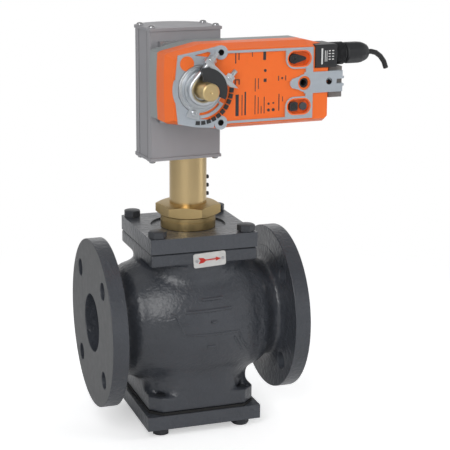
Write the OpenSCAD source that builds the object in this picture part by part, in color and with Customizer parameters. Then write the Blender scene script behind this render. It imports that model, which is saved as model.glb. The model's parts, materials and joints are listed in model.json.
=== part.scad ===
// Flanged globe valve with a brass neck, a linkage case and a rotary spring-return actuator.
// Millimetres. The origin is the centre of the inlet flange face, on the pipe axis.
// +X points to the outlet, +Z runs up along the stem, and the actuator faces -Y.

/* [Flanges and ports] */
// Distance between the two flange faces
face_to_face = 220; // [210:1:250]
// Outside diameter of a flange
flange_d = 184; // [178:1:200]
// Thickness of a flange
flange_t = 17.5; // [15:0.5:22]
// Diameter of the port through a flange
port_d = 63.5; // [50:0.5:64]
// Diameter of the circle that the flange bolt holes lie on
bolt_circle_d = 139.7; // [136:0.1:146]
// Diameter of a bolt hole in the inlet flange
inlet_hole_d = 19; // [16:0.5:20]
// Diameter of a bolt hole in the outlet flange
outlet_hole_d = 19.4; // [16:0.1:20]

/* [Body casting] */
// Largest radius of the barrel between the flanges
barrel_r = 78; // [74:1:82]
// Radius of the barrel where its round shoulder starts
barrel_end_r = 64; // [60:1:68]
// Half of the barrel's length, up to the centre of its round shoulder
barrel_half = 62; // [56:1:64]
// Radius of the round shoulder
shoulder_r = 20; // [16:1:22]
// Radius of the hub behind a flange
hub_r = 51; // [46:1:55]
// Side of the square pad under the bonnet
pad_w = 118.5; // [116:0.5:124]
// Thickness of that pad
pad_t = 13.5; // [12:0.5:16]
// Height of the pad's top face over the pipe axis
pad_top = 86; // [84:0.5:92]
// Radius of the round neck under the pad
neck_casting_r = 58; // [56:0.5:59]
// Radius of the chamber inside the barrel
chamber_r = 62; // [58:1:63]
// Radius of the round opening at the top and at the bottom of the casting
opening_r = 43; // [41:0.5:44]
// Thickness of the wall that carries the seat
web_t = 12; // [10:1:14]
// Side of the lower flange of the casting
lower_flange_w = 119; // [117:0.5:124]
// Thickness of the lower flange
lower_flange_t = 17; // [15:0.5:20]
// Corner chamfer of the lower flange
lower_chamfer = 13; // [8:0.5:14]
// Depth of the lower flange's face under the pipe axis
lower_face = 91; // [89:0.5:95]
// Radius of the skirt over the lower flange
skirt_r = 64; // [62:0.5:65]

/* [Bonnet and bottom cover] */
// Thickness of the bonnet plate
bonnet_t = 16; // [14:0.5:20]
// Thickness of the bonnet gasket
bonnet_gasket_t = 1; // [0.8:0.1:2]
// Distance of a bonnet bolt from each side of the pad
bonnet_bolt_in = 9.75; // [9.5:0.25:11]
// Width of the bottom cover along the pipe
cover_w = 128.5; // [126:0.5:134]
// Width of the bottom cover across the pipe
cover_d = 122; // [121:0.5:128]
// Thickness of the bottom cover
cover_t = 15.5; // [14:0.5:20]
// Thickness of the bottom gasket
bottom_gasket_t = 3; // [2:0.25:4]
// Distance of a bottom bolt from each side of the lower flange
bottom_bolt_in = 13.5; // [12.5:0.5:14.5]
// Diameter of the bolts
bolt_d = 12; // [10:0.5:13]
// Width across the flats of a bolt head
bolt_head_w = 17; // [16:0.5:18]
// Height of a bonnet bolt's head
bonnet_head_h = 7.5; // [6:0.5:9]
// Height of a bottom bolt's head
bottom_head_h = 9; // [7:0.5:10]

/* [Seat, plug and stem] */
// Diameter of the stem
stem_d = 12; // [10:0.5:13]
// Diameter of the passage through the seat ring
seat_d = 60; // [54:1:62]
// Radial width of the seat ring
seat_rim = 7; // [6:0.5:8]
// Space left between the plug and its seat when the valve is shut
plug_lift_gap = 0.4; // [0.3:0.1:0.8]
// Thickness of the plug's disc
plug_t = 12; // [10:0.5:14]

/* [Neck] */
// Radius of the nut's round collar
collar_r = 30; // [28:0.5:32]
// Height of the nut's round collar
collar_h = 13.5; // [12:0.5:16]
// Width across the flats of the nut
nut_w = 63.5; // [61:0.5:66]
// Height of the nut's hexagon
nut_h = 10.5; // [9:0.5:14]
// Outside diameter of the neck tube
neck_d = 40.4; // [38:0.2:42]
// Inside diameter of the neck tube
neck_bore_d = 28; // [26:0.5:30]
// Length of neck that shows between the nut and the case
neck_show = 53.4; // [48:0.1:60]
// Spacing of the set screws on the neck
set_screw_pitch = 9.3; // [8:0.1:11]

/* [Linkage case] */
// Turn of the case and actuator about the stem, in degrees
head_turn = 4.7; // [0:0.1:45]
// Width of the case
case_w = 78.5; // [76:0.5:84]
// Height of the case, with its two caps
case_h = 139; // [136:1:150]
// Depth of the flat sides of the case
case_d = 45; // [43:0.5:50]
// Rise of the round back of the case
case_bulge = 22; // [18:0.5:26]
// Distance of the stem from the front of the case
case_front = 25; // [24.5:0.5:28]
// Distance from the stem to the right side of the case
case_right = 26.55; // [26:0.05:28]
// Wall of the case
case_wall = 2.5; // [2:0.1:3]
// Thickness of a case cap
cap_t = 3; // [2.5:0.1:4]
// Depth of the shaft under the top of the case
shaft_drop = 55.4; // [52:0.1:59]

/* [Shaft and rack] */
// Diameter of the drive shaft
shaft_d = 18; // [16:0.5:19]
// Length of shaft in front of the actuator's face
shaft_show = 28; // [26:0.5:40]
// Pitch diameter of the rack pinion
rack_pinion_d = 24; // [22.8:0.2:24]
// Number of teeth on the rack pinion
rack_pinion_teeth = 12; // [12:1:13]

/* [Actuator] */
// Gap between the actuator and the case, filled by the mounting plate
mount_gap = 6.6; // [6:0.2:9]
// Depth of the rear housing
rear_d = 20; // [20:0.5:25]
// Depth of the front cover, up to its face
front_d = 33.4; // [33.4:0.2:40]
// Distance from the shaft to the left end of the actuator
act_left = 34; // [33:0.5:38]
// Distance from the shaft to the right end of the actuator
act_right = 150; // [148:1:156]
// Half of the actuator's height
act_half = 43.5; // [43:0.5:47]
// Width of the bevel round the front face
bevel = 5; // [4:0.5:6]
// Wall of the actuator's housing
act_wall = 2.5; // [2:0.1:3]
// Thickness of the front cover's face
face_wall = 5.5; // [5:0.1:6]
// Height of the raised bezel
bezel_h = 1.2; // [0.8:0.1:2]
// Width of the raised bezel's border
bezel_w = 2.5; // [2:0.5:4]
// Length of the tongue past the right end
tongue_l = 12; // [10:0.5:16]
// Height of the tongue
tongue_h = 22; // [20:0.5:24]

/* [Clamp] */
// Direction of the clamp's legs, in degrees from level
clamp_angle = 47; // [40:1:55]
// Diameter of the clamp's bent bolt
clamp_bolt_d = 5.5; // [5:0.1:6]
// Distance of each clamp leg from the shaft axis
clamp_leg_at = 13.6; // [13:0.1:14.5]
// Length of a clamp leg from the shaft axis
clamp_leg_l = 37; // [34:0.5:40]

/* [Gears] */
// Pitch diameter of the output gear
output_gear_d = 52; // [47:0.5:52]
// Thickness of a gear
gear_t = 5; // [4:0.1:5]

/* [Connector and cable] */
// Height of the connector
plug_h = 24; // [22:0.5:26]
// Length of the ribbed part of the connector
rib_l = 30; // [26:0.5:34]
// Length of the gland nut
gland_l = 22; // [18:0.5:24]
// Diameter of the cable
cable_d = 5.6; // [5:0.1:6]

/* [Hidden] */
$fn = 96;

// Shared clearances: an overrun for cuts, a running fit, a loose fit, and the space
// between two pieces that move past each other.
over = 1;
run_gap = 0.05;
loose_gap = 0.3;
fit_gap = 0.02;

// Valve stack, from the pipe axis up and down.
stem_x = face_to_face / 2;
flange_r = flange_d / 2;
port_r = port_d / 2;
hole_count = 4;
hole_turn = 45;
flange_chamfer = 1.5;
hub_fillet = 5;
stem_r = stem_d / 2;
bonnet_z = pad_top + bonnet_gasket_t;
bonnet_bolt_at = pad_w / 2 - bonnet_bolt_in;
bottom_bolt_at = lower_flange_w / 2 - bottom_bolt_in;
bonnet_top = bonnet_z + bonnet_t;
cover_z = -lower_face - bottom_gasket_t;
cover_bottom = cover_z - cover_t;
bolt_r = bolt_d / 2;
head_r = bolt_head_w / 2 / cos(30);
recess_r = 41;
recess_d = 2;
spigot_r = opening_r - loose_gap;
spigot_h = 15;
collar_top = bonnet_top + collar_h;
nut_top = collar_top + nut_h;
nut_turn = 37;
nut_thread_r = 24;
nut_thread_l = 9;
packing_r = 11;
nut_base = 3;
packing_count = 4;
nut_z = bonnet_top - nut_thread_l;
neck_r = neck_d / 2;
socket_l = 14;
neck_z = nut_top - socket_l;
case_z = nut_top + neck_show;
case_top = case_z + case_h;
neck_in_case = 11;
neck_top = case_z + neck_in_case;
guide_r = 10;
guide_h = 18;
set_screw_r = 2.3;
set_screw_show = 3.2;
set_screw_count = 3;
set_screw_lift = 8.5;

// Seat, plug and stem.
seat_r = seat_d / 2;
seat_out_r = seat_r + seat_rim;
seat_lip = 1.6;
seat_top = web_t / 2 + seat_lip;
plug_r = seat_r + seat_rim / 2;
skirt_port_r = seat_r - loose_gap;
skirt_h = 24;
skirt_wall = 4;
skirt_window_share = 0.62;
window_count = 3;
chamber_side = 44;
bore_wall = 10;

// Arrow plate on the front of the pad.
arrow_plate_w = 36;
arrow_plate_h = 15.5;
arrow_plate_t = 1;
arrow_plate_round = 2.5;
arrow_plate_tilt = 3;
arrow_plate_shift = 5;
arrow_plate_drop = 8.5;
rivet_r = 1.5;
rivet_at = 14.5;
rivet_h = 0.8;
arrow_l = 25;
arrow_w = 6.5;
arrow_h = 0.3;
// Half of the arrow's outline from its feathers to its tip, as shares of its length and half width.
arrow_shares = [[-0.5, 1], [-0.28, 0.8], [-0.18, 0.2], [0.28, 0.2], [0.26, 0.7], [0.5, 0]];
feather_notch_share = -0.42;

// Head places, in the head's own frame: x to the right, y away, z up, from the stem axis.
case_cx = case_right - case_w / 2;
case_side_y = case_d - case_front;
back_r = (case_w * case_w / 4 + case_bulge * case_bulge) / (2 * case_bulge);
back_cy = case_side_y + case_bulge - back_r;
cap_edge = 1.2;
bead_r = 4.2;
cap_screw_in = 3.2;
cap_screw_front = 5.4;
cap_screw_back = 39.5;
cap_screw_r = 2;
cap_screw_l = 12;
cap_head_r = 3.4;
cap_head_h = 2.2;
lock_ring_wall = 2;

// Rack and pinion.
rack_module = rack_pinion_d / rack_pinion_teeth;
addendum_share = 0.9;
dedendum_share = 1.25;
tip_half_share = 0.14;
root_half_share = 0.26;
rack_half = 7.5;
rack_d = 13;
rack_pitch_x = -rack_half - dedendum_share * rack_module;
pinion_r = rack_pinion_d / 2;
pinion_w = 14;
rack_step = rack_module * PI;
rack_teeth_down = 4;
rack_teeth_up = 5;
stroke = pinion_r * PI / 2;
shaft_x = rack_pitch_x - pinion_r;
shaft_z = case_top - shaft_drop;
shaft_r = shaft_d / 2;
rack_low = shaft_z - (rack_teeth_down + 1) * rack_step;
rack_high = shaft_z + (rack_teeth_up + 0.5) * rack_step;
coupling_r = 11;
coupling_l = 26;
coupling_in = 9;
bush_wall = 3;
bush_l = 9;
bush_flange_r = 13.5;
bush_flange_t = 2;
boss_r = 16;
rack_guide_h = 26;
rack_guide_d = 18;

// Plug height follows from the rack: the plug stands one stroke over the seat at rest.
plug_z = seat_top + stroke + plug_lift_gap;

// Actuator depths, measured towards the viewer from the stem axis.
act_back = case_front + mount_gap;
act_split = act_back + rear_d;
act_face = act_split + front_d;
bezel_face = act_face + bezel_h;
bevel_d = 13;
cover_rim = act_face - bevel_d;
shaft_front = bezel_face + shaft_show;
shaft_end_gap = 4;
shaft_back = case_side_y + case_bulge - case_wall - shaft_end_gap;
screw_hole_x = 22.5;
screw_hole_z = 35.6;
screw_hole_r = 3.2;
screw_boss_r = 6.5;
screw_r = 2.5;
screw_head_r = 2.9;
screw_head_h = 4;
screw_sunk = 9;
screw_reach = 8;
plate_side = 22;
plate_half = 42;

// Face features, measured from the shaft axis.
well_r = 24.5;
hub_ring_r = 24;
hub_r_outer = 13;
disc_x = -14.8;
disc_z = 26;
disc_r = 7.4;
disc_h = 1.8;
controls_x = 111;
lever_z = 25.5;
knob_z = -24.2;
pocket_half = 12.8;
pocket_r = 7.5;
pocket_d = 3.2;
lever_in = 5.6;
lever_r = 5.2;
lever_l = 16;
lever_tip_r = 1;
lever_t = 3.6;
lever_pin_r = 2.4;
knob_in = 5.4;
knob_half = 4.6;
knob_corner_r = 5.5;
knob_t = 3.4;
button_r = 4.1;
button_t = 2.2;
button_travel = 1.5;
button_pin_r = 2.2;
pin_l = 7;
crank_ring_r = 7.4;
crank_hub_r = 5;
crank_hex_w = 6.5;
crank_hex_d = 10;
bezel_low = -37;
bezel_high = 37;
bezel_right = 127;
bezel_rim = 2.8;
bezel_bar_w = 8.3;
crank_trim_r = 9;
trim_ring_r = 30;
trim_ring_from = -200;
trim_ring_to = -33;
trim_ring_steps = 24;
slot_out_r = 26.8;
slot_from = -100;
slot_to = -38;
lug_r = 7.2;
band_in_r = 32.6;
band_out_r = 36.6;
band_start = 0;
band_end = -100;
band_rise = 0.3;
band_share = 0.76;
band_steps = 4;
band_marks = 10;
tongue_back = 6;
tongue_slot_w = 5;
tongue_slot_l = 7;
tongue_hole_r = 3;
tongue_hole_in = 16;
tongue_tip_l = 1.6;
tongue_tip_w = 2.4;
tongue_tip_at = 3.9;
stop_r = 24.8;
stop_angle = -108;
stop_half = 6;
stop_in_r = 20;
stop_t = 1.4;
stop_screw_r = 2.6;
stop_screw_h = 1.2;
lug_plate_w = 15.5;
lug_plate_d = 12;
lug_plate_low = 18;
lug_plate_high = 14.5;
lug_plate_back = 7;

// Clamp on the shaft.
clamp_r = clamp_bolt_d / 2;
clamp_rise = 7.4;
clamp_y = bezel_face + clamp_rise;
hub_step_r = 18.5;
hub_step_front = clamp_y - clamp_r - loose_gap;
nut_af = 8.5;
nut_t = 5;
bridge_at = 20.5;
bridge_t = 5;
bridge_w = 6;
pad_at = clamp_y + clamp_r + loose_gap;
clamp_pad_t = 4.5;
clamp_pad_in = shaft_r + fit_gap;
clamp_pad_out = 23;
clamp_pad_from = -25;
clamp_pad_to = 104;
pointer_r = 37;

// Gear train: pitch radii follow from the teeth, and each axis from the one before.
output_teeth = 52;
gear_module = output_gear_d / output_teeth;
small_teeth = 12;
first_teeth = 32;
second_teeth = 44;
link_teeth = 20;
third_teeth = 42;
layer_gap = 1.5;
layer_one = act_back + act_wall + layer_gap + gear_t;
layer_two = layer_one + gear_t + layer_gap;
layer_three = layer_two + gear_t + layer_gap;
first_x = (output_teeth + small_teeth) * gear_module / 2;
second_x = first_x + (first_teeth + small_teeth) * gear_module / 2;
third_x = second_x + (second_teeth + link_teeth) * gear_module / 2;
crank_x = third_x + (third_teeth + link_teeth) * gear_module / 2;
motor_drop = (link_teeth + small_teeth) * gear_module / 2;
arbor_r = 2;
motor_r = 10;
motor_l = 17;
barrel_r_out = 30;
barrel_t = 1.5;
barrel_back = layer_three + layer_gap;
gear_plate_t = 1.5;
gear_plate_right = 128;
plate_front = layer_three + layer_gap + gear_plate_t;
spring_t = 0.6;
spring_turns = 5;
spring_steps = 24;
board_x = 53;
board_w = 40;
board_h = 66;
board_t = 1.6;
chip_w = 9;
chip_t = 2;
chip_count = 4;

// Connector and cable.
conn_x = 129.5;
conn_z = 27;
conn_left = 17;
conn_back = 34;
conn_face = bezel_face + bezel_h / 2;
conn_axis_y = -68;
rib_r = 12.2;
rib_count = 7;
rib_groove = 0.8;
neck_gap_l = 1.5;
gland_neck_r = 9;
gland_r = 11.6;
gland_tip_r = 8.4;
gland_flats = 8;
cable_sides = 10;
cable_route = [
    [178, -68, 291], [184, -68, 291], [190, -67.5, 289.5], [196, -67, 285.5],
    [201, -66.5, 279.5], [204, -66, 272.5]];

// Colours.
IRON = [0.13, 0.135, 0.145];
DARK_STEEL = [0.12, 0.12, 0.13];
BRASS = [0.72, 0.6, 0.38];
BRONZE = [0.55, 0.4, 0.22];
STEEL = [0.6, 0.6, 0.61];
ZINC = [0.72, 0.73, 0.75];
CASE_GREY = [0.5, 0.5, 0.51];
ORANGE = [0.95, 0.4, 0.14];
BEZEL_GREY = [0.62, 0.65, 0.68];
HOUSING_GREY = [0.48, 0.5, 0.5];
BLACK = [0.08, 0.08, 0.085];
RUBBER = [0.05, 0.05, 0.05];
PLATE_SILVER = [0.75, 0.75, 0.74];
BOARD_GREEN = [0.1, 0.35, 0.2];

// Placing modules.
module at_stem() {
    translate([stem_x, 0, 0]) children();
}

module head() {
    at_stem() rotate([0, 0, head_turn]) children();
}

module at_shaft() {
    translate([shaft_x, 0, shaft_z]) children();
}

// Extrudes a shape drawn in the X-Z plane, from its front at -front back by t.
module facing(front, t) {
    translate([0, t - front, 0]) rotate([90, 0, 0]) linear_extrude(t) children();
}

module rod_y(r, front, len) {
    translate([0, len - front, 0]) rotate([90, 0, 0]) cylinder(r = r, h = len);
}

module rod_x(r, left, len) {
    translate([left, 0, 0]) rotate([0, 90, 0]) cylinder(r = r, h = len);
}

module rod_z(r, low, len) {
    translate([0, 0, low]) cylinder(r = r, h = len);
}

module block(size_x, size_y, low, len) {
    translate([-size_x / 2, -size_y / 2, low]) cube([size_x, size_y, len]);
}

module four(at_x, at_y) {
    for (side = [-1, 1], row = [-1, 1]) translate([side * at_x, row * at_y, 0]) children();
}

module ring_z(r_out, r_in, low, len) {
    difference() {
        rod_z(r_out, low, len);
        rod_z(r_in, low - over, len + 2 * over);
    }
}

module hex_head(r, h) {
    cylinder(r = r, h = h, $fn = 6);
}

// A gear's outline: one tooth centred on the angle turn, in degrees.
module gear_shape(teeth, size, turn) {
    pitch = teeth * size / 2;
    tip = pitch + addendum_share * size;
    root = pitch - dedendum_share * size;
    step = 360 / teeth;
    foot = root_half_share;
    nose = tip_half_share;
    flank = [[root, -foot], [tip, -nose], [tip, nose], [root, foot]];
    polygon([for (k = [0:teeth - 1], f = flank)
        f[0] * [cos(turn + (k + f[1]) * step), sin(turn + (k + f[1]) * step)]]);
}

module wheel(teeth, turn, front) {
    facing(front, gear_t) gear_shape(teeth, gear_module, turn);
}

// Section of the casting along the pipe: barrel, round shoulders, hubs and flanges.
barrel_steps = 8;
shoulder_steps = 6;
shoulder_sweep = 60;
flange_back = stem_x - flange_t;
barrel_mid = (barrel_r * barrel_r - barrel_end_r * barrel_end_r - barrel_half * barrel_half)
    / (2 * (barrel_r - barrel_end_r));
function barrel_at(x) = sqrt((barrel_r - barrel_mid) ^ 2 - x * x) + barrel_mid;
function shoulder_at(a) = [barrel_half + shoulder_r * cos(a), barrel_end_r - shoulder_r * (1 - sin(a))];
half_section = concat(
    [for (k = [0:barrel_steps]) let (x = barrel_half * k / barrel_steps) [x, barrel_at(x)]],
    [for (k = [1:shoulder_steps]) shoulder_at(90 - shoulder_sweep * k / shoulder_steps)],
    [[flange_back - hub_fillet, hub_r], [flange_back, hub_r + hub_fillet],
        [flange_back, flange_r - flange_chamfer], [flange_back + flange_chamfer, flange_r],
        [stem_x - flange_chamfer, flange_r], [stem_x, flange_r - flange_chamfer], [stem_x, 0]]);
section = concat([for (k = [len(half_section) - 1:-1:1]) [-half_section[k][0], half_section[k][1]]],
    half_section);

module lower_flange_shape() {
    half = lower_flange_w / 2;
    cut = half - lower_chamfer;
    polygon([[-half, -cut], [-cut, -half], [cut, -half], [half, -cut],
        [half, cut], [cut, half], [-cut, half], [-half, cut]]);
}

// One side's flow path: a pocket over or under the web that opens to one port.
module flow_path() {
    intersection() {
        sphere(r = chamber_r);
        translate([-chamber_side, -flange_r, web_t / 2]) cube([flange_d, flange_d, flange_d]);
    }
    rod_z(opening_r, chamber_r / 2, flange_d);
    rod_x(port_r, chamber_side + bore_wall, face_to_face);
}

module flange_holes(d) {
    for (k = [0:hole_count - 1]) rotate([hole_turn + k * 360 / hole_count, 0, 0])
        translate([0, 0, bolt_circle_d / 2]) rod_x(d / 2, flange_back - over, flange_t + 2 * over);
}

module valve_body() {
    color(IRON) at_stem() difference() {
        union() {
            rotate([0, 90, 0]) rotate_extrude() polygon([for (p = section) [p[1], p[0]]]);
            rod_z(neck_casting_r, 0, pad_top - pad_t + over);
            block(pad_w, pad_w, pad_top - pad_t, pad_t);
            intersection() {
                rod_z(skirt_r, -lower_face + over, lower_face - over);
                block(lower_flange_w, lower_flange_w, -lower_face + over, lower_face);
            }
            translate([0, 0, -lower_face]) linear_extrude(lower_flange_t) lower_flange_shape();
        }
        flow_path();
        rotate([0, 180, 0]) flow_path();
        rod_z(seat_out_r + fit_gap, -web_t, 2 * web_t);
        flange_holes(outlet_hole_d);
        rotate([0, 180, 0]) flange_holes(inlet_hole_d);
        four(bonnet_bolt_at, bonnet_bolt_at)
            rod_z(bolt_r + fit_gap, pad_top - pad_t - over, pad_t + 2 * over);
        four(bottom_bolt_at, bottom_bolt_at)
            rod_z(bolt_r + fit_gap, -lower_face - over, lower_flange_t + 2 * over);
    }
}

module seat_ring() {
    color(BRONZE) at_stem() difference() {
        union() {
            rod_z(seat_out_r, -web_t / 2, web_t + seat_lip);
            rod_z(seat_out_r + 2 * seat_lip, web_t / 2 + fit_gap, seat_lip - fit_gap);
        }
        rod_z(seat_r, -web_t, 2 * web_t);
    }
}

module valve_plug() {
    window_h = skirt_h * skirt_window_share;
    color(BRONZE) at_stem() difference() {
        union() {
            rod_z(plug_r, plug_z, plug_t);
            ring_z(skirt_port_r, skirt_port_r - skirt_wall, plug_z - skirt_h, skirt_h + over);
        }
        rod_z(stem_r + fit_gap, plug_z - over, plug_t + 2 * over);
        for (k = [0:window_count - 1]) rotate([0, 0, k * 360 / window_count])
            translate([0, -seat_r / 2, plug_z - window_h]) cube([plug_r + over, seat_r, window_h - over]);
    }
}

module valve_stem() {
    color(STEEL) at_stem() rod_z(stem_r, plug_z, rack_low - coupling_in - plug_z);
}

module stem_guide() {
    color(BRONZE) at_stem() ring_z(guide_r - fit_gap, stem_r + run_gap, bonnet_z - spigot_h, guide_h);
}

module bonnet_plate() {
    color(IRON) at_stem() difference() {
        union() {
            block(pad_w, pad_w, bonnet_z, bonnet_t);
            rod_z(spigot_r, bonnet_z - spigot_h, spigot_h + over);
        }
        rod_z(recess_r, bonnet_top - recess_d, recess_d + over);
        rod_z(nut_thread_r + fit_gap, nut_z, bonnet_t);
        rod_z(stem_r + loose_gap, bonnet_z - spigot_h - over, bonnet_t + spigot_h);
        rod_z(guide_r, bonnet_z - spigot_h - over, guide_h + over);
        four(bonnet_bolt_at, bonnet_bolt_at) rod_z(bolt_r + loose_gap, bonnet_z - over, bonnet_t + 2 * over);
    }
}

module bonnet_gasket() {
    color(RUBBER) at_stem() difference() {
        block(pad_w - 2 * seat_lip, pad_w - 2 * seat_lip, pad_top, bonnet_gasket_t);
        rod_z(opening_r, pad_top - over, bonnet_gasket_t + 2 * over);
        four(bonnet_bolt_at, bonnet_bolt_at)
            rod_z(bolt_r + loose_gap, pad_top - over, bonnet_gasket_t + 2 * over);
    }
}

module bonnet_bolts() {
    color(DARK_STEEL) at_stem() four(bonnet_bolt_at, bonnet_bolt_at) {
        translate([0, 0, bonnet_top]) hex_head(head_r, bonnet_head_h);
        rod_z(bolt_r, pad_top - pad_t, bonnet_top - pad_top + pad_t);
    }
}

module bottom_cover() {
    color(IRON) at_stem() difference() {
        union() {
            block(cover_w, cover_d, cover_bottom, cover_t);
            rod_z(spigot_r, cover_z - over, spigot_h + over);
        }
        four(bottom_bolt_at, bottom_bolt_at)
            rod_z(bolt_r + loose_gap, cover_bottom - over, cover_t + 2 * over);
    }
}

module bottom_gasket() {
    color(RUBBER) at_stem() difference() {
        translate([0, 0, cover_z]) linear_extrude(bottom_gasket_t) lower_flange_shape();
        rod_z(opening_r, cover_z - over, bottom_gasket_t + 2 * over);
        four(bottom_bolt_at, bottom_bolt_at)
            rod_z(bolt_r + loose_gap, cover_z - over, bottom_gasket_t + 2 * over);
    }
}

module bottom_bolts() {
    color(DARK_STEEL) at_stem() four(bottom_bolt_at, bottom_bolt_at) {
        translate([0, 0, cover_bottom - bottom_head_h]) hex_head(head_r, bottom_head_h);
        rod_z(bolt_r, cover_bottom, lower_flange_t - lower_face - cover_bottom - over);
    }
}

module on_arrow_plate() {
    translate([arrow_plate_shift, 0, pad_top - arrow_plate_drop])
        rotate([0, -arrow_plate_tilt, 0]) children();
}

module rivet_places() {
    for (side = [-1, 1]) translate([side * rivet_at, 0]) children();
}

module flow_arrow_plate() {
    corner_x = arrow_plate_w / 2 - arrow_plate_round;
    corner_z = arrow_plate_h / 2 - arrow_plate_round;
    half = arrow_w / 2;
    color(PLATE_SILVER) at_stem() on_arrow_plate() difference() {
        facing(pad_w / 2 + arrow_plate_t, arrow_plate_t) {
            for (x = [-corner_x, corner_x], z = [-corner_z, corner_z])
                translate([x, z]) circle(arrow_plate_round);
            square([arrow_plate_w, 2 * corner_z], center = true);
            square([2 * corner_x, arrow_plate_h], center = true);
        }
        facing(pad_w / 2 + 2 * arrow_plate_t, 3 * arrow_plate_t) rivet_places() circle(rivet_r + fit_gap);
    }
    arrow_front = pad_w / 2 + arrow_plate_t + arrow_h;
    color("firebrick") at_stem() on_arrow_plate() facing(arrow_front, arrow_h) polygon(concat(
        [for (p = arrow_shares) [p[0] * arrow_l, p[1] * half]],
        [for (k = [len(arrow_shares) - 2:-1:0]) [arrow_shares[k][0] * arrow_l, -arrow_shares[k][1] * half]],
        [[feather_notch_share * arrow_l, 0]]));
}

module plate_rivets() {
    rivet_l = arrow_plate_t + rivet_h;
    color(STEEL) at_stem() on_arrow_plate() facing(pad_w / 2 + rivet_l, rivet_l)
        rivet_places() circle(rivet_r);
}

module packing_nut() {
    color(BRASS) at_stem() difference() {
        union() {
            rod_z(nut_thread_r, nut_z, nut_thread_l);
            rod_z(collar_r, bonnet_top - recess_d, collar_h + recess_d);
            intersection() {
                translate([0, 0, collar_top]) rotate([0, 0, nut_turn]) hex_head(nut_w / 2 / cos(30), nut_h);
                translate([0, 0, collar_top])
                    cylinder(r1 = nut_w / 2 + nut_h, r2 = nut_w / 2 + over, h = nut_h);
            }
        }
        rod_z(stem_r + loose_gap, nut_z - over, nut_base + 2 * over);
        rod_z(packing_r, nut_z + nut_base, nut_top);
        rod_z(neck_r + fit_gap, neck_z, nut_top);
    }
}

module packing_rings() {
    ring_h = (neck_z - nut_z - nut_base) / packing_count;
    color(RUBBER) at_stem() for (k = [0:packing_count - 1])
        ring_z(packing_r - fit_gap, stem_r + run_gap, nut_z + nut_base + k * ring_h, ring_h - fit_gap);
}

module neck_tube() {
    color(BRASS) at_stem() difference() {
        rod_z(neck_r, neck_z, neck_top - neck_z);
        rod_z(neck_bore_d / 2, neck_z - over, neck_top - neck_z + 2 * over);
        for (k = [0:set_screw_count - 1]) translate([0, 0, nut_top + set_screw_lift + k * set_screw_pitch])
            rod_x(set_screw_r + fit_gap, 0, neck_d);
    }
}

module neck_set_screws() {
    inner = neck_bore_d / 2 + loose_gap;
    color(DARK_STEEL) at_stem() for (k = [0:set_screw_count - 1])
        translate([0, 0, nut_top + set_screw_lift + k * set_screw_pitch])
            rod_x(set_screw_r, inner, neck_r + set_screw_show - inner);
}

module neck_lock_nut() {
    color(BRASS) at_stem()
        ring_z(neck_r + lock_ring_wall, neck_r + fit_gap, case_z + cap_t, neck_in_case - cap_t);
}

// Outline of the case seen from above: flat front and sides, round back.
module case_shape(inset) {
    half = case_w / 2 - inset;
    translate([case_cx, 0]) {
        translate([-half, inset - case_front]) square([2 * half, case_d - inset]);
        intersection() {
            translate([0, back_cy]) circle(back_r - inset);
            translate([-half, case_side_y - over]) square([2 * half, back_r]);
        }
    }
}

module case_screw_places() {
    for (side = [-1, 1], y = [cap_screw_front, cap_screw_back])
        translate([case_cx + side * (case_w / 2 - cap_screw_in), y - case_front]) children();
}

module linkage_case() {
    body_z = case_z + cap_t;
    body_h = case_h - 2 * cap_t;
    color(CASE_GREY) head() difference() {
        union() {
            translate([0, 0, body_z]) linear_extrude(body_h) difference() {
                union() {
                    case_shape(0);
                    case_screw_places() circle(bead_r);
                }
                difference() {
                    case_shape(case_wall);
                    case_screw_places() circle(bead_r);
                }
            }
            intersection() {
                translate([0, 0, body_z]) linear_extrude(body_h) case_shape(case_wall / 2);
                at_shaft() rod_y(boss_r, bush_l - shaft_back, back_r);
            }
        }
        at_shaft() rod_y(shaft_r + bush_wall + fit_gap, case_front + over,
            case_front + shaft_back + loose_gap + over);
        case_screw_places() {
            rod_z(cap_screw_r + fit_gap, body_z - over, cap_screw_l);
            rod_z(cap_screw_r + fit_gap, case_top - cap_t - cap_screw_l + over, cap_screw_l);
        }
        at_screw_holes() rod_y(screw_r + fit_gap, case_front + over, case_wall + 2 * over);
    }
}

module case_cap(low) {
    difference() {
        translate([0, 0, low]) linear_extrude(cap_t) union() {
            case_shape(-cap_edge);
            case_screw_places() circle(bead_r + cap_edge);
        }
        case_screw_places() rod_z(cap_screw_r + loose_gap, low - over, cap_t + 2 * over);
    }
}

module case_top_cap() {
    color(CASE_GREY) head() case_cap(case_top - cap_t);
}

module case_bottom_cap() {
    color(CASE_GREY) head() difference() {
        case_cap(case_z);
        rod_z(neck_r + fit_gap, case_z - over, cap_t + 2 * over);
    }
}

module case_screws() {
    shank = cap_screw_l - 2 * over;
    color(STEEL) head() case_screw_places() {
        rod_z(cap_screw_r, case_top - shank, shank);
        rod_z(cap_head_r, case_top, cap_head_h);
        rod_z(cap_screw_r, case_z, shank);
        rod_z(cap_head_r, case_z - cap_head_h, cap_head_h);
    }
}

module shaft_bushes() {
    color(BRONZE) head() at_shaft() difference() {
        union() {
            rod_y(shaft_r + bush_wall, case_front, bush_l);
            rod_y(bush_flange_r, case_front - case_wall, bush_flange_t);
            rod_y(shaft_r + bush_wall, bush_l - shaft_back, bush_l);
            rod_y(bush_flange_r, bush_l - shaft_back + bush_flange_t, bush_flange_t);
        }
        rod_y(shaft_r + run_gap, case_front + over, 2 * back_r + case_d);
    }
}

module rack_guide() {
    right = case_cx + case_w / 2 - case_wall;
    left = rack_half + run_gap;
    color(BRONZE) head() translate([left, -rack_guide_d / 2, shaft_z - rack_guide_h / 2])
        cube([right - left, rack_guide_d, rack_guide_h]);
}

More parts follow.
